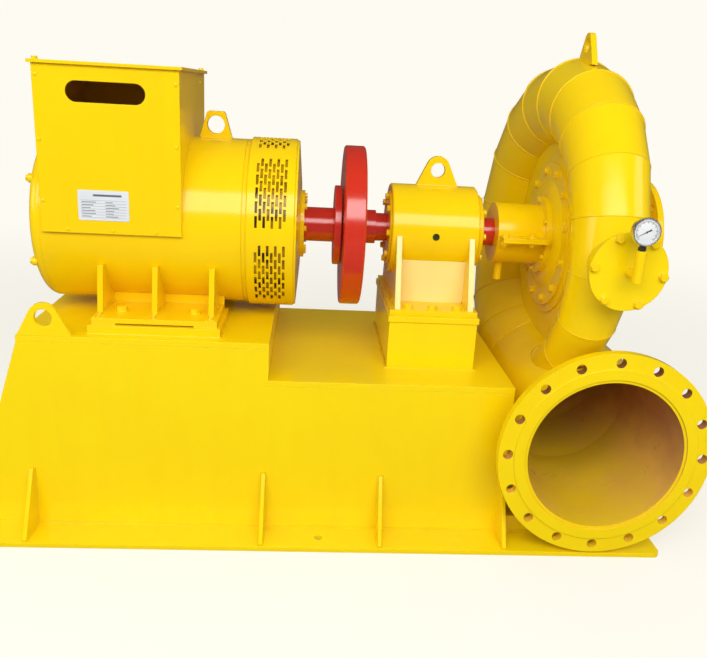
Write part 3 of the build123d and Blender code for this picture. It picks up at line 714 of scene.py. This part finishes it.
def new_piece(name, bm, material, body=STILL):
    """Object from a finished bmesh, shaded smooth up to the sharp edges, riding on a body."""
    bm.normal_update()
    for face in bm.faces:
        face.smooth = True
    for edge in bm.edges:
        if len(edge.link_faces) == 2 and edge.calc_face_angle(0) > SHARP:
            edge.smooth = False
    mesh = bpy.data.meshes.new(name)
    bm.to_mesh(mesh)
    bm.free()
    mesh.materials.append(material)
    piece = bpy.data.objects.new(name, mesh)
    bpy.context.scene.collection.objects.link(piece)
    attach(piece, body)
    print(name, "has", len(mesh.polygons), "faces")
    return piece


# %% [markdown]
# ## Bolts
# Hexagon bolts hold the covers, and they were painted over with everything else. A head is a hexagon
# with a 30 degree chamfer that leaves a round flat on top. Its corner lies further out, so the chamfer
# cuts it lower there: the height of each point follows from its radius. Sizes are the standard ones.

# %% Hexagon bolts
# Across flats, head height, washer radius and washer thickness of each thread
BOLT_SIZES = {
    8: (0.013, 0.0053, 0.008, 0.0016),
    10: (0.016, 0.0064, 0.010, 0.0020),
    12: (0.018, 0.0075, 0.012, 0.0025),
    16: (0.024, 0.0100, 0.015, 0.0030),
}
HEX_STEPS = 24
CHAMFER_START = 0.93
CHAMFER_SLOPE = math.tan(math.radians(30))
SUNK = 0.0005
# Where a washer's rim ends, as shares of its radius and thickness
WASHER_EDGE = (0.96, 0.8)
NUT_SHARE = 1.2
# The stub's end, as shares of its radius and heights over the nut
STUB_ENDS = ((1.0, 0.003), (0.8, 0.004))
TURN_SEED = 7


def hex_prism(bm, matrix, flats, bottom, top):
    """Hexagon with chamfered upper corners."""
    flat_radius = flats / 2 * CHAMFER_START
    rings = ([], [], [])
    for step in range(HEX_STEPS):
        angle = 2 * math.pi * step / HEX_STEPS
        reach = flats / 2 / math.cos(angle % (math.pi / 3) - math.pi / 6)
        shoulder = top - (reach - flat_radius) * CHAMFER_SLOPE
        for ring, (radius, height) in zip(rings, ((reach, bottom), (reach, shoulder), (flat_radius, top))):
            point = Vector((radius * math.cos(angle), radius * math.sin(angle), height))
            ring.append(bm.verts.new(matrix @ point))
    skin(bm, rings)


def bolt(bm, spot, direction, thread, turn=0.0):
    """Washer and head that stand on a face."""
    flats, head, rim, thick = BOLT_SIZES[thread]
    matrix = axis_frame(spot, direction, turn)
    inner, lower = WASHER_EDGE
    lathe(bm, matrix, ((rim, -SUNK), (rim, thick * lower), (rim * inner, thick)))
    hex_prism(bm, matrix, flats, thick, thick + head)


def nut(bm, spot, direction, thread, turn=0.0):
    """Nut with the end of its bolt standing out."""
    flats, head = BOLT_SIZES[thread][:2]
    matrix = axis_frame(spot, direction, turn)
    top = head * NUT_SHARE
    hex_prism(bm, matrix, flats, -SUNK, top)
    stub = thread / 2000
    lathe(bm, matrix, ((stub, head), *((stub * share, top + rise) for share, rise in STUB_ENDS)), 16)


rng = random.Random(TURN_SEED)


def any_turn():
    return rng.uniform(0, math.pi / 3)


print("Bolt sizes:", sorted(BOLT_SIZES))

# %% [markdown]
# ### Bolts round the shaft line
# The head cover has twelve bolts on its rim. Each bearing cover has eight, the gland's end flange six,
# and the caps at both ends of the generator eight small ones. All stand on faces square to the shaft,
# so one loop places them from the face's station, the circle's radius and the direction.

# %% Bolts round the shaft
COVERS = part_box("bearing_covers")
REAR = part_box("rear_end_cover")
DOME_RISE = 0.012
HEAD_RIM_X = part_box("head_cover")[0].x + DOME_RISE
GLAND_FLANGE_T = 0.014
GLAND_FLANGE_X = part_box("gland_upper_half")[1].x - GLAND_FLANGE_T

# Station, radius, count, first angle, direction and thread of each circle
SHAFT_CIRCLES = {
    "head_cover_bolts": (HEAD_RIM_X, 0.185, 12, 15, -1, 12),
    "left_bearing_cover_bolts": (COVERS[0].x, 0.090, 8, 0, -1, 10),
    "right_bearing_cover_bolts": (COVERS[1].x, 0.090, 8, 0, 1, 10),
    "gland_flange_bolts": (GLAND_FLANGE_X, 0.100, 6, 30, -1, 8),
    "rear_cap_bolts": (REAR[0].x, 0.080, 8, 22.5, -1, 8),
    "drive_end_cap_bolts": (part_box("drive_end_shield")[1].x, 0.080, 8, 0, 1, 8),
}

for name, (x, radius, count, start, side, thread) in SHAFT_CIRCLES.items():
    bm = bmesh.new()
    for y, z in around(radius, count, start):
        bolt(bm, (x, y, SHAFT_Z + z), (side, 0, 0), thread, any_turn())
    new_piece(name, bm, yellow_paint)

# %% [markdown]
# ### Other bolts
# Six bolts hold the hand-hole cover, three on each side hold the bearing's foot, and two on each side
# the generator's. The gland is split along the shaft, and its halves are bolted through their flanges,
# heads above and nuts below. The rear cover's bolts sit on its rounded rim.

# %% Other bolts
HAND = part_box("hand_hole_cover")
HAND_X = (HAND[0].x + HAND[1].x) / 2
HAND_Z = (HAND[0].z + HAND[1].z) / 2
HAND_CIRCLE = 0.084
HAND_START = -6
GENERATOR_FOOT_T = 0.013
GENERATOR_FOOT_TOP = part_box("plinth_bars")[1].z + GENERATOR_FOOT_T
GENERATOR_FOOT_BOLTS = ((-0.522, 0.226), (-0.331, 0.229))
BEARING_FOOT_BOLTS = [(x, 0.185) for x in (0.242, 0.310, 0.378)]
SPLIT = 0.007
GLAND_JOINT_X = (0.509, 0.586)
GLAND_JOINT_Y = 0.118
REAR_RIM_RADIUS = 0.214
REAR_RIM_START = 147
REAR_RIM_DEPTH = 0.020
REAR_BOSS = ((0.012, 0), (0.012, 0.013), (0.011, 0.014))
# Across flats, bottom and top
REAR_HEAD = (0.015, 0.014, 0.020)

bm = bmesh.new()
for x, z in around(HAND_CIRCLE, 6, HAND_START):
    bolt(bm, (HAND_X + x, HAND[0].y, HAND_Z + z), (0, -1, 0), 12, any_turn())
new_piece("hand_hole_bolts", bm, yellow_paint)

bm = bmesh.new()
for side in (-1, 1):
    for spots, top in ((BEARING_FOOT_BOLTS, FOOT_TOP), (GENERATOR_FOOT_BOLTS, GENERATOR_FOOT_TOP)):
        for x, y in spots:
            bolt(bm, (x, side * y, top), (0, 0, 1), 16, any_turn())
new_piece("foot_bolts", bm, yellow_paint)

bm = bmesh.new()
for side in (-1, 1):
    for x in GLAND_JOINT_X:
        bolt(bm, (x, side * GLAND_JOINT_Y, SHAFT_Z + SPLIT), (0, 0, 1), 12, any_turn())
        nut(bm, (x, side * GLAND_JOINT_Y, SHAFT_Z - SPLIT), (0, 0, -1), 12, any_turn())
new_piece("gland_joint_bolts", bm, yellow_paint)

bm = bmesh.new()
for y, z in around(REAR_RIM_RADIUS, 6, REAR_RIM_START):
    seat = axis_frame((REAR[0].x + REAR_RIM_DEPTH, y, SHAFT_Z + z), (-1, 0, 0))
    lathe(bm, seat, REAR_BOSS)
    hex_prism(bm, seat, *REAR_HEAD)
new_piece("rear_cover_bolts", bm, yellow_paint)

# %% [markdown]
# ## Screws of the terminal box
# Sheet-metal screws with round heads hold the front and side sheets, and two small bolts hold the lid. A
# screw's head is a low dome, turned from four points. Its cross-shaped recess is too small to matter.

# %% Screws
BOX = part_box("terminal_box")
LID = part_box("terminal_box_lid")
SCREW_DOME = ((0.0048, -SUNK), (0.0048, 0.0006), (0.0040, 0.0016), (0.0022, 0.0022))
FRONT_SCREWS = ((-0.704, 1.166), (-0.704, 1.014), (-0.704, 0.865), (-0.371, 1.158), (-0.371, 1.010),
                (-0.371, 0.862), (-0.647, 0.795), (-0.535, 0.795), (-0.426, 0.795))
SIDE_SCREW = (0.117, 1.168)
LID_SCREW_INSET = 0.016


def screw(bm, spot, direction):
    lathe(bm, axis_frame(spot, direction), SCREW_DOME, 20)


bm = bmesh.new()
for x, z in FRONT_SCREWS:
    screw(bm, (x, BOX[0].y, z), (0, -1, 0))
for corner, side in ((BOX[1], 1), (BOX[0], -1)):
    screw(bm, (corner.x, *SIDE_SCREW), (side, 0, 0))
for corner, inset in ((LID[0], LID_SCREW_INSET), (LID[1], -LID_SCREW_INSET)):
    bolt(bm, (corner.x + inset, corner.y + inset, LID[1].z), (0, 0, 1), 8)
new_piece("terminal_box_screws", bm, yellow_paint)

# %% [markdown]
# ## Weld beads
# The case is cut from flat-rolled plate and welded at every mitre, and the base is welded all along its
# feet. A bead is a thin round strand along a path. Its sides carry a map of the length run so far, and
# the paint's height uses that for the small crescents that a welder leaves.

# %% Bead material
RIPPLE_PITCH = 0.0055
RIPPLE_BOW = 0.4
RIPPLE_HEIGHT = 0.35


def weld_ripple_group():
    group = new_group("weld_ripple", [("Pitch", FLOAT, RIPPLE_PITCH)], [("Height", FLOAT)])
    along, across = split(group, add(group, "ShaderNodeTexCoord").outputs["UV"])[:2]
    bow = calc(group, "SINE", times(group, across, 2 * math.pi))
    turns = calc(group, "DIVIDE", along, given(group)["Pitch"])
    turns = calc(group, "ADD", turns, times(group, bow, RIPPLE_BOW))
    turns = calc(group, "ADD", turns, noise(group, place(group), 60.0))
    return give_out(group, Height=calc(group, "SINE", times(group, turns, 2 * math.pi)))


WELD_RIPPLE = weld_ripple_group()


def weld_enamel():
    material, tree = new_material("weld_enamel")
    color, roughness, height = sprayed(tree, YELLOW, edge=0.1, variation=0.9, gloss=0.26, waves=1.0)
    height = scaled(tree, use(tree, WELD_RIPPLE)["Height"], RIPPLE_HEIGHT, height)
    bump = add(tree, "ShaderNodeBump", (), {"Height": height, "Strength": 0.8, "Distance": BUMP_DISTANCE})
    finish_shader(tree, color, roughness, bump.outputs[0], {"Specular IOR Level": PAINT_SPECULAR})
    return material


weld_paint = weld_enamel()
print("Paint:", weld_paint.name)

# %% Bead helper
BEAD_SIDES = 8
BEAD_STEP = 0.03


def bead(bm, path, radius, closed=False):
    """Round strand along a list of points, with its length in the first UV value."""
    map_layer = bm.loops.layers.uv.verify()
    count = len(path)
    rings = []
    lengths = [0.0]
    for index, point in enumerate(path):
        before = path[index - 1] if index or closed else point
        after = path[(index + 1) % count] if index + 1 < count or closed else point
        turn = (after - before).to_track_quat("Z", "Y").to_matrix()
        rings.append([bm.verts.new(point + turn @ Vector((x, y, 0))) for x, y in around(radius, BEAD_SIDES)])
        lengths.append(lengths[-1] + (after - point).length)
    for index in range(count if closed else count - 1):
        join_rings(bm, map_layer, rings[index], rings[(index + 1) % count], lengths[index:index + 2])
    if not closed:
        bm.faces.new(list(reversed(rings[0])))
        bm.faces.new(rings[-1])


def join_rings(bm, map_layer, low, high, spans):
    """Quads between two rings, matched from the nearest point so that the strand never twists."""
    shift = min(range(BEAD_SIDES), key=lambda side: (high[side].co - low[0].co).length)
    for side in range(BEAD_SIDES):
        near, far = (side + shift) % BEAD_SIDES, (side + 1 + shift) % BEAD_SIDES
        corners = (low[side], low[(side + 1) % BEAD_SIDES], high[far], high[near])
        marks = ((spans[0], side), (spans[0], side + 1), (spans[1], side + 1), (spans[1], side))
        for loop, (length, turn) in zip(bm.faces.new(corners).loops, marks):
            loop[map_layer].uv = (length, turn / BEAD_SIDES)


def straight(start, end):
    start, end = Vector(start), Vector(end)
    count = max(2, round((end - start).length / BEAD_STEP) + 1)
    return [start.lerp(end, index / (count - 1)) for index in range(count)]


print("Bead helper ready, with", BEAD_SIDES, "sides")

# %% [markdown]
# ### Seams of the case
# The seams are circles, one every 20 degrees round the shaft, and they shrink and move sideways as the
# passage gets narrower. Where a circle dips into the inlet pipe, the stay ring or the hand-hole neck,
# its points are left out and the bead breaks there. The front seams are ground nearly flush. At the
# back, beads are flattened where they would stand out of the CAD model's box.

# %% Seams of the case
FIRST_SEAM = 14
MITRE_ANGLE = 20
LAST_PROUD_SEAM = 214
TAIL_START = 254
TAIL_BEND = 42
TAIL_END = 350
RING_LAST_ANGLE = 280
# What each degree takes off the passage's radius and its place along the shaft
RADIUS_LOSS = 0.00065
RADIUS_CURVE = 0.0000007
TAIL_RADIUS_LOSS = 0.000225
DRIFT = 0.00018
TAIL_DRIFT = 0.000375
SEAM_BEAD = 0.0026
GROUND_BEAD = 0.0012
SEAM_STEPS = 120
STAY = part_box("stay_ring")
STAY_MARGIN = 0.002
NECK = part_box("hand_hole_neck")
NECK_RADIUS = (NECK[1].x - NECK[0].x) / 2
PIPE_BACK_Y = 0.02
PIPE_OUTSIDE = INLET_RADIUS + 0.001
FLANGE_BEAD = 0.005
FLANGE_BEAD_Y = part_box("inlet_flange")[1].y + 0.002


def seam_ring(theta):
    """Points of the mitre seam at theta degrees from straight down."""
    tail = min(max(theta - TAIL_START, 0), TAIL_BEND)
    lean = math.radians(min(theta, RING_LAST_ANGLE)) - RING_SHIFT_ANGLE
    reach = MEAN_RING + RING_SHIFT * math.cos(lean)
    radius = INLET_RADIUS - RADIUS_LOSS * theta + RADIUS_CURVE * theta**2 - TAIL_RADIUS_LOSS * tail
    x = CASE_X - DRIFT * theta - TAIL_DRIFT * tail
    outward = Vector((0, math.sin(math.radians(theta)), -math.cos(math.radians(theta))))
    middle = Vector((x, 0, SHAFT_Z)) + outward * reach
    return [middle + Vector((across, 0, 0)) + outward * out for across, out in around(radius, SEAM_STEPS)]


def in_the_open(point):
    """False where the point is inside the inlet pipe, the stay ring or the hand-hole neck."""
    from_pipe = math.hypot(point.x - CASE_X, point.z - INLET_Z)
    from_shaft = math.hypot(point.y, point.z - SHAFT_Z)
    from_neck = math.hypot(point.x - HAND_X, point.z - HAND_Z)
    in_pipe = point.y < PIPE_BACK_Y and from_pipe < PIPE_OUTSIDE
    in_stay = STAY[0].x - STAY_MARGIN < point.x < STAY[1].x + STAY_MARGIN and from_shaft < STAY[1].y
    in_neck = point.y < NECK[1].y and from_neck < NECK_RADIUS
    return not (in_pipe or in_stay or in_neck)


def open_runs(points):
    """Runs of neighbouring points in the open, starting after a hidden one."""
    shown = [in_the_open(point) for point in points]
    if all(shown):
        return [points], True
    start = shown.index(False)
    runs = [[]]
    for index in range(start, start + len(points)):
        if shown[index % len(points)]:
            runs[-1].append(points[index % len(points)])
        elif runs[-1]:
            runs.append([])
    return [run for run in runs if len(run) > 2], False


bm = bmesh.new()
seams = range(FIRST_SEAM, TAIL_END, MITRE_ANGLE)
for theta in seams:
    runs, whole = open_runs(seam_ring(theta))
    for run in runs:
        bead(bm, run, SEAM_BEAD if theta <= LAST_PROUD_SEAM else GROUND_BEAD, closed=whole)
flange_ring = [Vector((CASE_X + x, FLANGE_BEAD_Y, INLET_Z + z)) for x, z in around(PIPE_OUTSIDE, 96)]
bead(bm, flange_ring, FLANGE_BEAD, closed=True)
for vertex in bm.verts:
    vertex.co.y = min(vertex.co.y, CAD_BOX[1].y)
new_piece("case_seams", bm, weld_paint)
print("Seams:", len(seams))

# %% [markdown]
# ### Beads of the base
# Fillet welds run along the foot of both long panels and of the gussets, up the gussets' sides, under
# the bearing's and the generator's plinths, and at the foot of the pedestal's cheeks and of the ribs.
# Each is a straight strand in the corner between two plates, and most come in pairs, front and back.

# %% Beads of the base
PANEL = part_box("front_panel")
PLATE_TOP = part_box("base_plate")[1].z
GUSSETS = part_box("gussets")
GUSSET_X = (-0.747, -0.141, 0.175, 0.512)
GUSSET_T = 0.010
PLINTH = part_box("pedestal_plinth")
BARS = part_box("plinth_bars")
BAR_INNER_Y = 0.115
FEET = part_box("generator_feet")
RIB_X = (-0.580, -0.440, -0.293)
RIB_T = 0.014
RIB_REACH = 0.97
CHEEK_X = (0.205, 0.220, 0.407, 0.422)
CHEEK_HALF = 0.105
BASE_BEAD = 0.0045
FINE_BEAD = 0.003


def along_x(box, y, z):
    """Both ends of a strand as long as a box."""
    return (box[0].x, y, z), (box[1].x, y, z)


def along_y(places, near, far, z):
    """Both ends of a strand at each place."""
    return [((x, near, z), (x, far, z)) for x in places]


def both_faces(places, thickness):
    return [x + shift for x in places for shift in (0, thickness)]


fine_beads = along_y((PLINTH[0].x, PLINTH[1].x), PLINTH[0].y, PLINTH[1].y, PLINTH[0].z)
fine_beads += along_y(CHEEK_X, -CHEEK_HALF, CHEEK_HALF, FOOT_TOP)
bm = bmesh.new()
for side in (-1, 1):
    wall, outer, inner = side * abs(PANEL[0].y), side * BARS[1].y, side * BAR_INNER_Y
    bead(bm, straight(*along_x(PANEL, wall, PLATE_TOP)), BASE_BEAD)
    gusset_faces = both_faces(GUSSET_X, GUSSET_T)
    fine_beads += along_y(gusset_faces, wall, side * GUSSETS[1].y, PLATE_TOP)
    fine_beads += [((x, wall, PLATE_TOP), (x, wall, GUSSETS[1].z)) for x in gusset_faces]
    fine_beads.append(along_x(PLINTH, side * PLINTH[1].y, PLINTH[0].z))
    fine_beads.append(along_x(BARS, outer, BARS[0].z))
    fine_beads += along_y((BARS[0].x, BARS[1].x), inner, outer, BARS[0].z)
    rib_end = side * FEET[1].y * RIB_REACH
    fine_beads += along_y(both_faces(RIB_X, RIB_T), inner, rib_end, GENERATOR_FOOT_TOP)
for start, end in fine_beads:
    bead(bm, straight(start, end), FINE_BEAD)
new_piece("base_beads", bm, weld_paint)

# %% [markdown]
# ### Beads of the lugs
# Each lifting lug stands on its own housing and is welded along both faces, and the base's two eyes
# along their inner ones. The strands end a little short of the corners, as a welder's do.

# %% Beads of the lugs
LUG_BEAD = 0.0035
LUG_SHORT = 0.004
GENERATOR_RADIUS = 0.229
BARREL_RADIUS = 0.127
EYE_T = 0.012
# The height that each lug stands on, and how far its beads lie inside its node's box
LUG_SEATS = {
    "generator_lug": (SHAFT_Z + GENERATOR_RADIUS, 0),
    "bearing_lug": (SHAFT_Z + BARREL_RADIUS, 0),
    "lifting_eyes": (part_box("lifting_eyes")[0].z, EYE_T),
}

bm = bmesh.new()
for node, (top, inset) in LUG_SEATS.items():
    low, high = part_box(node)
    for y in (low.y + inset, high.y - inset):
        bead(bm, straight((low.x + LUG_SHORT, y, top), (high.x - LUG_SHORT, y, top)), LUG_BEAD)
new_piece("lug_beads", bm, weld_paint)

# %% [markdown]
# ## Nameplate
# A thin white plate lies on the front of the terminal box. Its ruled lines are only a generic table: a
# bar for a heading, then rows with short fields. They are drawn in the material from the plate's own
# coordinates, and nothing is written on it.

# %% Nameplate
PLATE_X = (-0.618, -0.492)
PLATE_Z = (0.820, 0.896)
PLATE_T = 0.0012
PLATE_CORNER = 0.003
PLATE_TONES = ((0.80, 0.83, 0.86, 1), (0.66, 0.70, 0.75, 1))
PRINT_GREY = (0.10, 0.13, 0.18, 1)
HEADING = (0.12, 0.14, 0.20, 1)
# Shares of the plate's width and height, and of one row's height
HEADING_ACROSS = (0.30, 0.86)
HEADING_UP = (0.80, 0.87)
TABLE_UP = (0.07, 0.69)
RULE_ACROSS = (0.05, 0.95)
ROWS_PER_HEIGHT = 7 / 0.66
RULE_BAND = (0.0, 0.10)
FIELD_BAND = (0.30, 0.62)
LEFT_FIELD = (0.07, 0.24)
RIGHT_FIELD = (0.54, 0.80)
FIELD_SPREAD = 0.12


def share_of(tree, value, ends):
    """0 at the first end and 1 at the last."""
    return calc(tree, "DIVIDE", calc(tree, "SUBTRACT", value, ends[0]), ends[1] - ends[0])


def ruled_table_group():
    group = new_group("ruled_table", [], [("Lines", FLOAT), ("Heading", FLOAT)])
    x, z = split(group, place(group))[::2]
    across = share_of(group, x, PLATE_X)
    up = share_of(group, z, PLATE_Z)
    heading = times(group, between(group, up, *HEADING_UP), between(group, across, *HEADING_ACROSS))
    rows = times(group, up, ROWS_PER_HEIGHT)
    in_row = calc(group, "FRACT", rows)
    row = {"W": calc(group, "FLOOR", rows)}
    field = add(group, "ShaderNodeTexWhiteNoise", {"noise_dimensions": "1D"}, row).outputs["Value"]
    left_end = scaled(group, field, FIELD_SPREAD, LEFT_FIELD[1])
    right_end = scaled(group, field, -FIELD_SPREAD, RIGHT_FIELD[1])
    left = between(group, across, LEFT_FIELD[0], left_end)
    right = between(group, across, RIGHT_FIELD[0], right_end)
    fields = times(group, calc(group, "ADD", left, right), between(group, in_row, *FIELD_BAND))
    rules = times(group, between(group, in_row, *RULE_BAND), between(group, across, *RULE_ACROSS))
    table = times(group, calc(group, "MAXIMUM", fields, rules), between(group, up, *TABLE_UP))
    return give_out(group, Lines=table, Heading=heading)


RULED_TABLE = ruled_table_group()


def plate_print():
    material, tree = new_material("nameplate_print")
    table = use(tree, RULED_TABLE)
    cloudy = noise(tree, place(tree), 22.0, 3.0)
    white = mix_color(tree, cloudy, *PLATE_TONES)
    color = mix_color(tree, times(tree, table["Lines"], 0.8), white, PRINT_GREY)
    color = mix_color(tree, table["Heading"], color, HEADING)
    roughness = scaled(tree, cloudy, 0.2, 0.25)
    edges = use(tree, ROUNDED_EDGES, Radius=0.0004)
    finish_shader(tree, color, roughness, edges["Normal"], {"Specular IOR Level": 0.5})
    return material


def rounded_outline(x_range, z_range, radius, steps=6):
    """Outline of a plate with round corners, as (x, z)."""
    inner_x = (x_range[0] + radius, x_range[1] - radius)
    inner_z = (z_range[0] + radius, z_range[1] - radius)
    outline = []
    for right, upper, start in ((1, 1, 0), (0, 1, 90), (0, 0, 180), (1, 0, 270)):
        for step in range(steps + 1):
            angle = math.radians(start + 90 * step / steps)
            x = inner_x[right] + radius * math.cos(angle)
            outline.append((x, inner_z[upper] + radius * math.sin(angle)))
    return outline


def flat_plate(bm, outline, back_y, front_y):
    """Plate between two stations, from its outline seen from the front."""
    skin(bm, [[bm.verts.new((x, y, z)) for x, z in outline] for y in (back_y, front_y)])
    bmesh.ops.recalc_face_normals(bm, faces=bm.faces)


bm = bmesh.new()
flat_plate(bm, rounded_outline(PLATE_X, PLATE_Z, PLATE_CORNER), BOX[0].y + SUNK, BOX[0].y - PLATE_T)
new_piece("nameplate", bm, plate_print())

# %% [markdown]
# ## Pressure gauge
# A Bourdon gauge reads the pressure in the case. The CAD node is a plain disc, so a detailed gauge
# takes its place: a spun steel case with a lip, a white dial with fifty marks and a black needle. The
# marks are drawn from the angle round the dial's middle, and they cover three quarters of a turn.

# %% Gauge materials
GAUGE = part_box("pressure_gauge")
DIAL_X = (GAUGE[0].x + GAUGE[1].x) / 2
DIAL_Z = (GAUGE[0].z + GAUGE[1].z) / 2
DIAL_R = 0.0272
STEEL = ((0.86, 0.88, 0.90, 1), (0.68, 0.70, 0.73, 1))
DARK_STEEL = ((0.16, 0.16, 0.15, 1), (0.07, 0.07, 0.07, 1))
DIAL_TONES = ((0.84, 0.86, 0.87, 1), (0.76, 0.79, 0.79, 1))
DIAL_PRINT = (0.025, 0.025, 0.03, 1)
DIAL_SWEEP = math.radians(270)
DIAL_START = math.radians(225)
LAST_MARK = 1.004
# Count, half width and inner end of the small and the long marks, with the ends as shares of the dial
MARK_SETS = ((50, 0.16, 0.80), (10, 0.055, 0.72))
MARK_END = 0.90 * DIAL_R
RIM_END = 0.915 * DIAL_R


def spun_steel(name, tones, rough):
    material, tree = new_material(name)
    spot = place(tree)
    fine = noise(tree, spot, 420.0)
    color = mix_color(tree, noise(tree, spot, 35.0, 4.0), *tones)
    roughness = scaled(tree, fine, 0.2, rough)
    edges = use(tree, ROUNDED_EDGES, Radius=0.0006)
    normal = raised(tree, times(tree, fine, 0.02), edges["Normal"], 0.4)
    finish_shader(tree, color, roughness, normal, {"Metallic": 1.0})
    print("Material:", material.name)
    return material


def dial_marks_group():
    group = new_group("dial_marks", [], [("Marks", FLOAT)])
    x, z = split(group, place(group))[::2]
    right = calc(group, "SUBTRACT", x, DIAL_X)
    up = calc(group, "SUBTRACT", z, DIAL_Z)
    radius = vector_calc(group, "LENGTH", join(group, right, up))
    swept = calc(group, "SUBTRACT", DIAL_START, calc(group, "ARCTAN2", up, right))
    turned = calc(group, "DIVIDE", calc(group, "FLOORED_MODULO", swept, 2 * math.pi), DIAL_SWEEP)
    marks = between(group, radius, MARK_END, RIM_END)
    for count, width, inner in MARK_SETS:
        near = calc(group, "PINGPONG", times(group, turned, count), 0.5)
        reach = between(group, radius, inner * DIAL_R, MARK_END)
        mark = times(group, below(group, near, width), reach)
        marks = calc(group, "MAXIMUM", marks, mark)
    shown = below(group, turned, LAST_MARK)
    return give_out(group, Marks=times(group, marks, shown))


DIAL_MARKS = dial_marks_group()


def dial_print():
    material, tree = new_material("dial_print")
    white = mix_color(tree, noise(tree, place(tree), 60.0, 3.0), *DIAL_TONES)
    color = mix_color(tree, use(tree, DIAL_MARKS)["Marks"], white, DIAL_PRINT)
    roughness = scaled(tree, noise(tree, place(tree), 180.0), 0.15, 0.30)
    edges = use(tree, ROUNDED_EDGES, Radius=0.0003)
    finish_shader(tree, color, roughness, edges["Normal"], {"Coat Weight": 0.6, "Coat Roughness": 0.04})
    return material


gauge_steel = spun_steel("spun_steel", STEEL, 0.18)
dark_steel = spun_steel("dark_steel", DARK_STEEL, 0.32)

# %% Gauge pieces
TO_FRONT = (0, -1, 0)
GAUGE_DEEP = GAUGE[1].y - GAUGE[0].y
LIP = GAUGE_DEEP - 0.0030
CASE_PROFILE = ((0.020, 0), (0.0265, 0.0008), (0.029, 0.004), (0.029, 0.016), (0.0305, 0.0175),
                (0.032, 0.018), (0.032, GAUGE_DEEP - 0.0015), (0.0312, GAUGE_DEEP), (0.0292, GAUGE_DEEP),
                (0.0275, LIP))
DIAL_PROFILE = ((DIAL_R, 0), (DIAL_R, 0.0003), (0.027, 0.0004))
NEEDLE_ANGLE = math.radians(209)
NEEDLE_HALF = [(0.0225, 0.0003), (0.002, 0.0009), (-0.004, 0.0012), (-0.0115, 0.0019)]
NEEDLE_HUB = ((0.0022, 0), (0.0022, 0.0016), (0.0016, 0.0021))
FACE_Y = GAUGE[1].y - LIP
NEEDLE_Y = (FACE_Y - 0.0009, FACE_Y - 0.0014)
STEM_NUT_Z = 0.8615
STEM_PROFILE = ((0.0068, -SUNK), (0.0068, 0.0125), (0.0062, 0.0130))
# Across flats, bottom and top
STEM_NUT = (0.017, 0.0015, 0.0085)
dial_frame = axis_frame((DIAL_X, FACE_Y, DIAL_Z), TO_FRONT)

bm = bmesh.new()
lathe(bm, axis_frame((DIAL_X, GAUGE[1].y, DIAL_Z), TO_FRONT), CASE_PROFILE, 64)
case_piece = new_piece("gauge_case", bm, gauge_steel)
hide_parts("pressure_gauge")

bm = bmesh.new()
lathe(bm, dial_frame, DIAL_PROFILE, 64)
new_piece("gauge_dial", bm, dial_print())

bm = bmesh.new()
outline = NEEDLE_HALF + [(along, -half) for along, half in reversed(NEEDLE_HALF)]
cos_turn, sin_turn = math.cos(NEEDLE_ANGLE), math.sin(NEEDLE_ANGLE)
turned = [(DIAL_X + a * cos_turn - b * sin_turn, DIAL_Z + a * sin_turn + b * cos_turn) for a, b in outline]
flat_plate(bm, turned, *NEEDLE_Y)
lathe(bm, dial_frame, NEEDLE_HUB)
new_piece("gauge_needle", bm, dark_steel)

bm = bmesh.new()
stem = axis_frame((DIAL_X, (GAUGE[0].y + GAUGE[1].y) / 2, STEM_NUT_Z), (0, 0, 1))
lathe(bm, stem, STEM_PROFILE)
hex_prism(bm, stem, *STEM_NUT)
new_piece("gauge_stem", bm, dark_steel)

# %% [markdown]
# ### Oil plug
# A small tapped hole in the bearing's side shows how high the oil stands. Its brass seat is dull and
# green with age, and darkened as painted shade of the hole, with a shallow recess in the middle.

# %% Oil plug
PLUG_PLACE = (0.3135, -BARREL_RADIUS, SHAFT_Z)
PLUG_PROFILE = ((0.0098, -0.002), (0.0098, 0.0008), (0.0092, 0.0014), (0.0068, 0.0014), (0.0060, 0.0004),
                (0.0058, -0.0015))
# Dark olive brass: green with age, and darkened as painted shade of the hole
DARK_BRASS_AND_SHADE = ((0.20, 0.22, 0.05, 1), (0.07, 0.08, 0.03, 1))
brass_and_painted_shade = spun_steel("brass_and_painted_shade", DARK_BRASS_AND_SHADE, 0.35)
bm = bmesh.new()
lathe(bm, axis_frame(PLUG_PLACE, TO_FRONT), PLUG_PROFILE, 32)
new_piece("oil_plug", bm, brass_and_painted_shade)
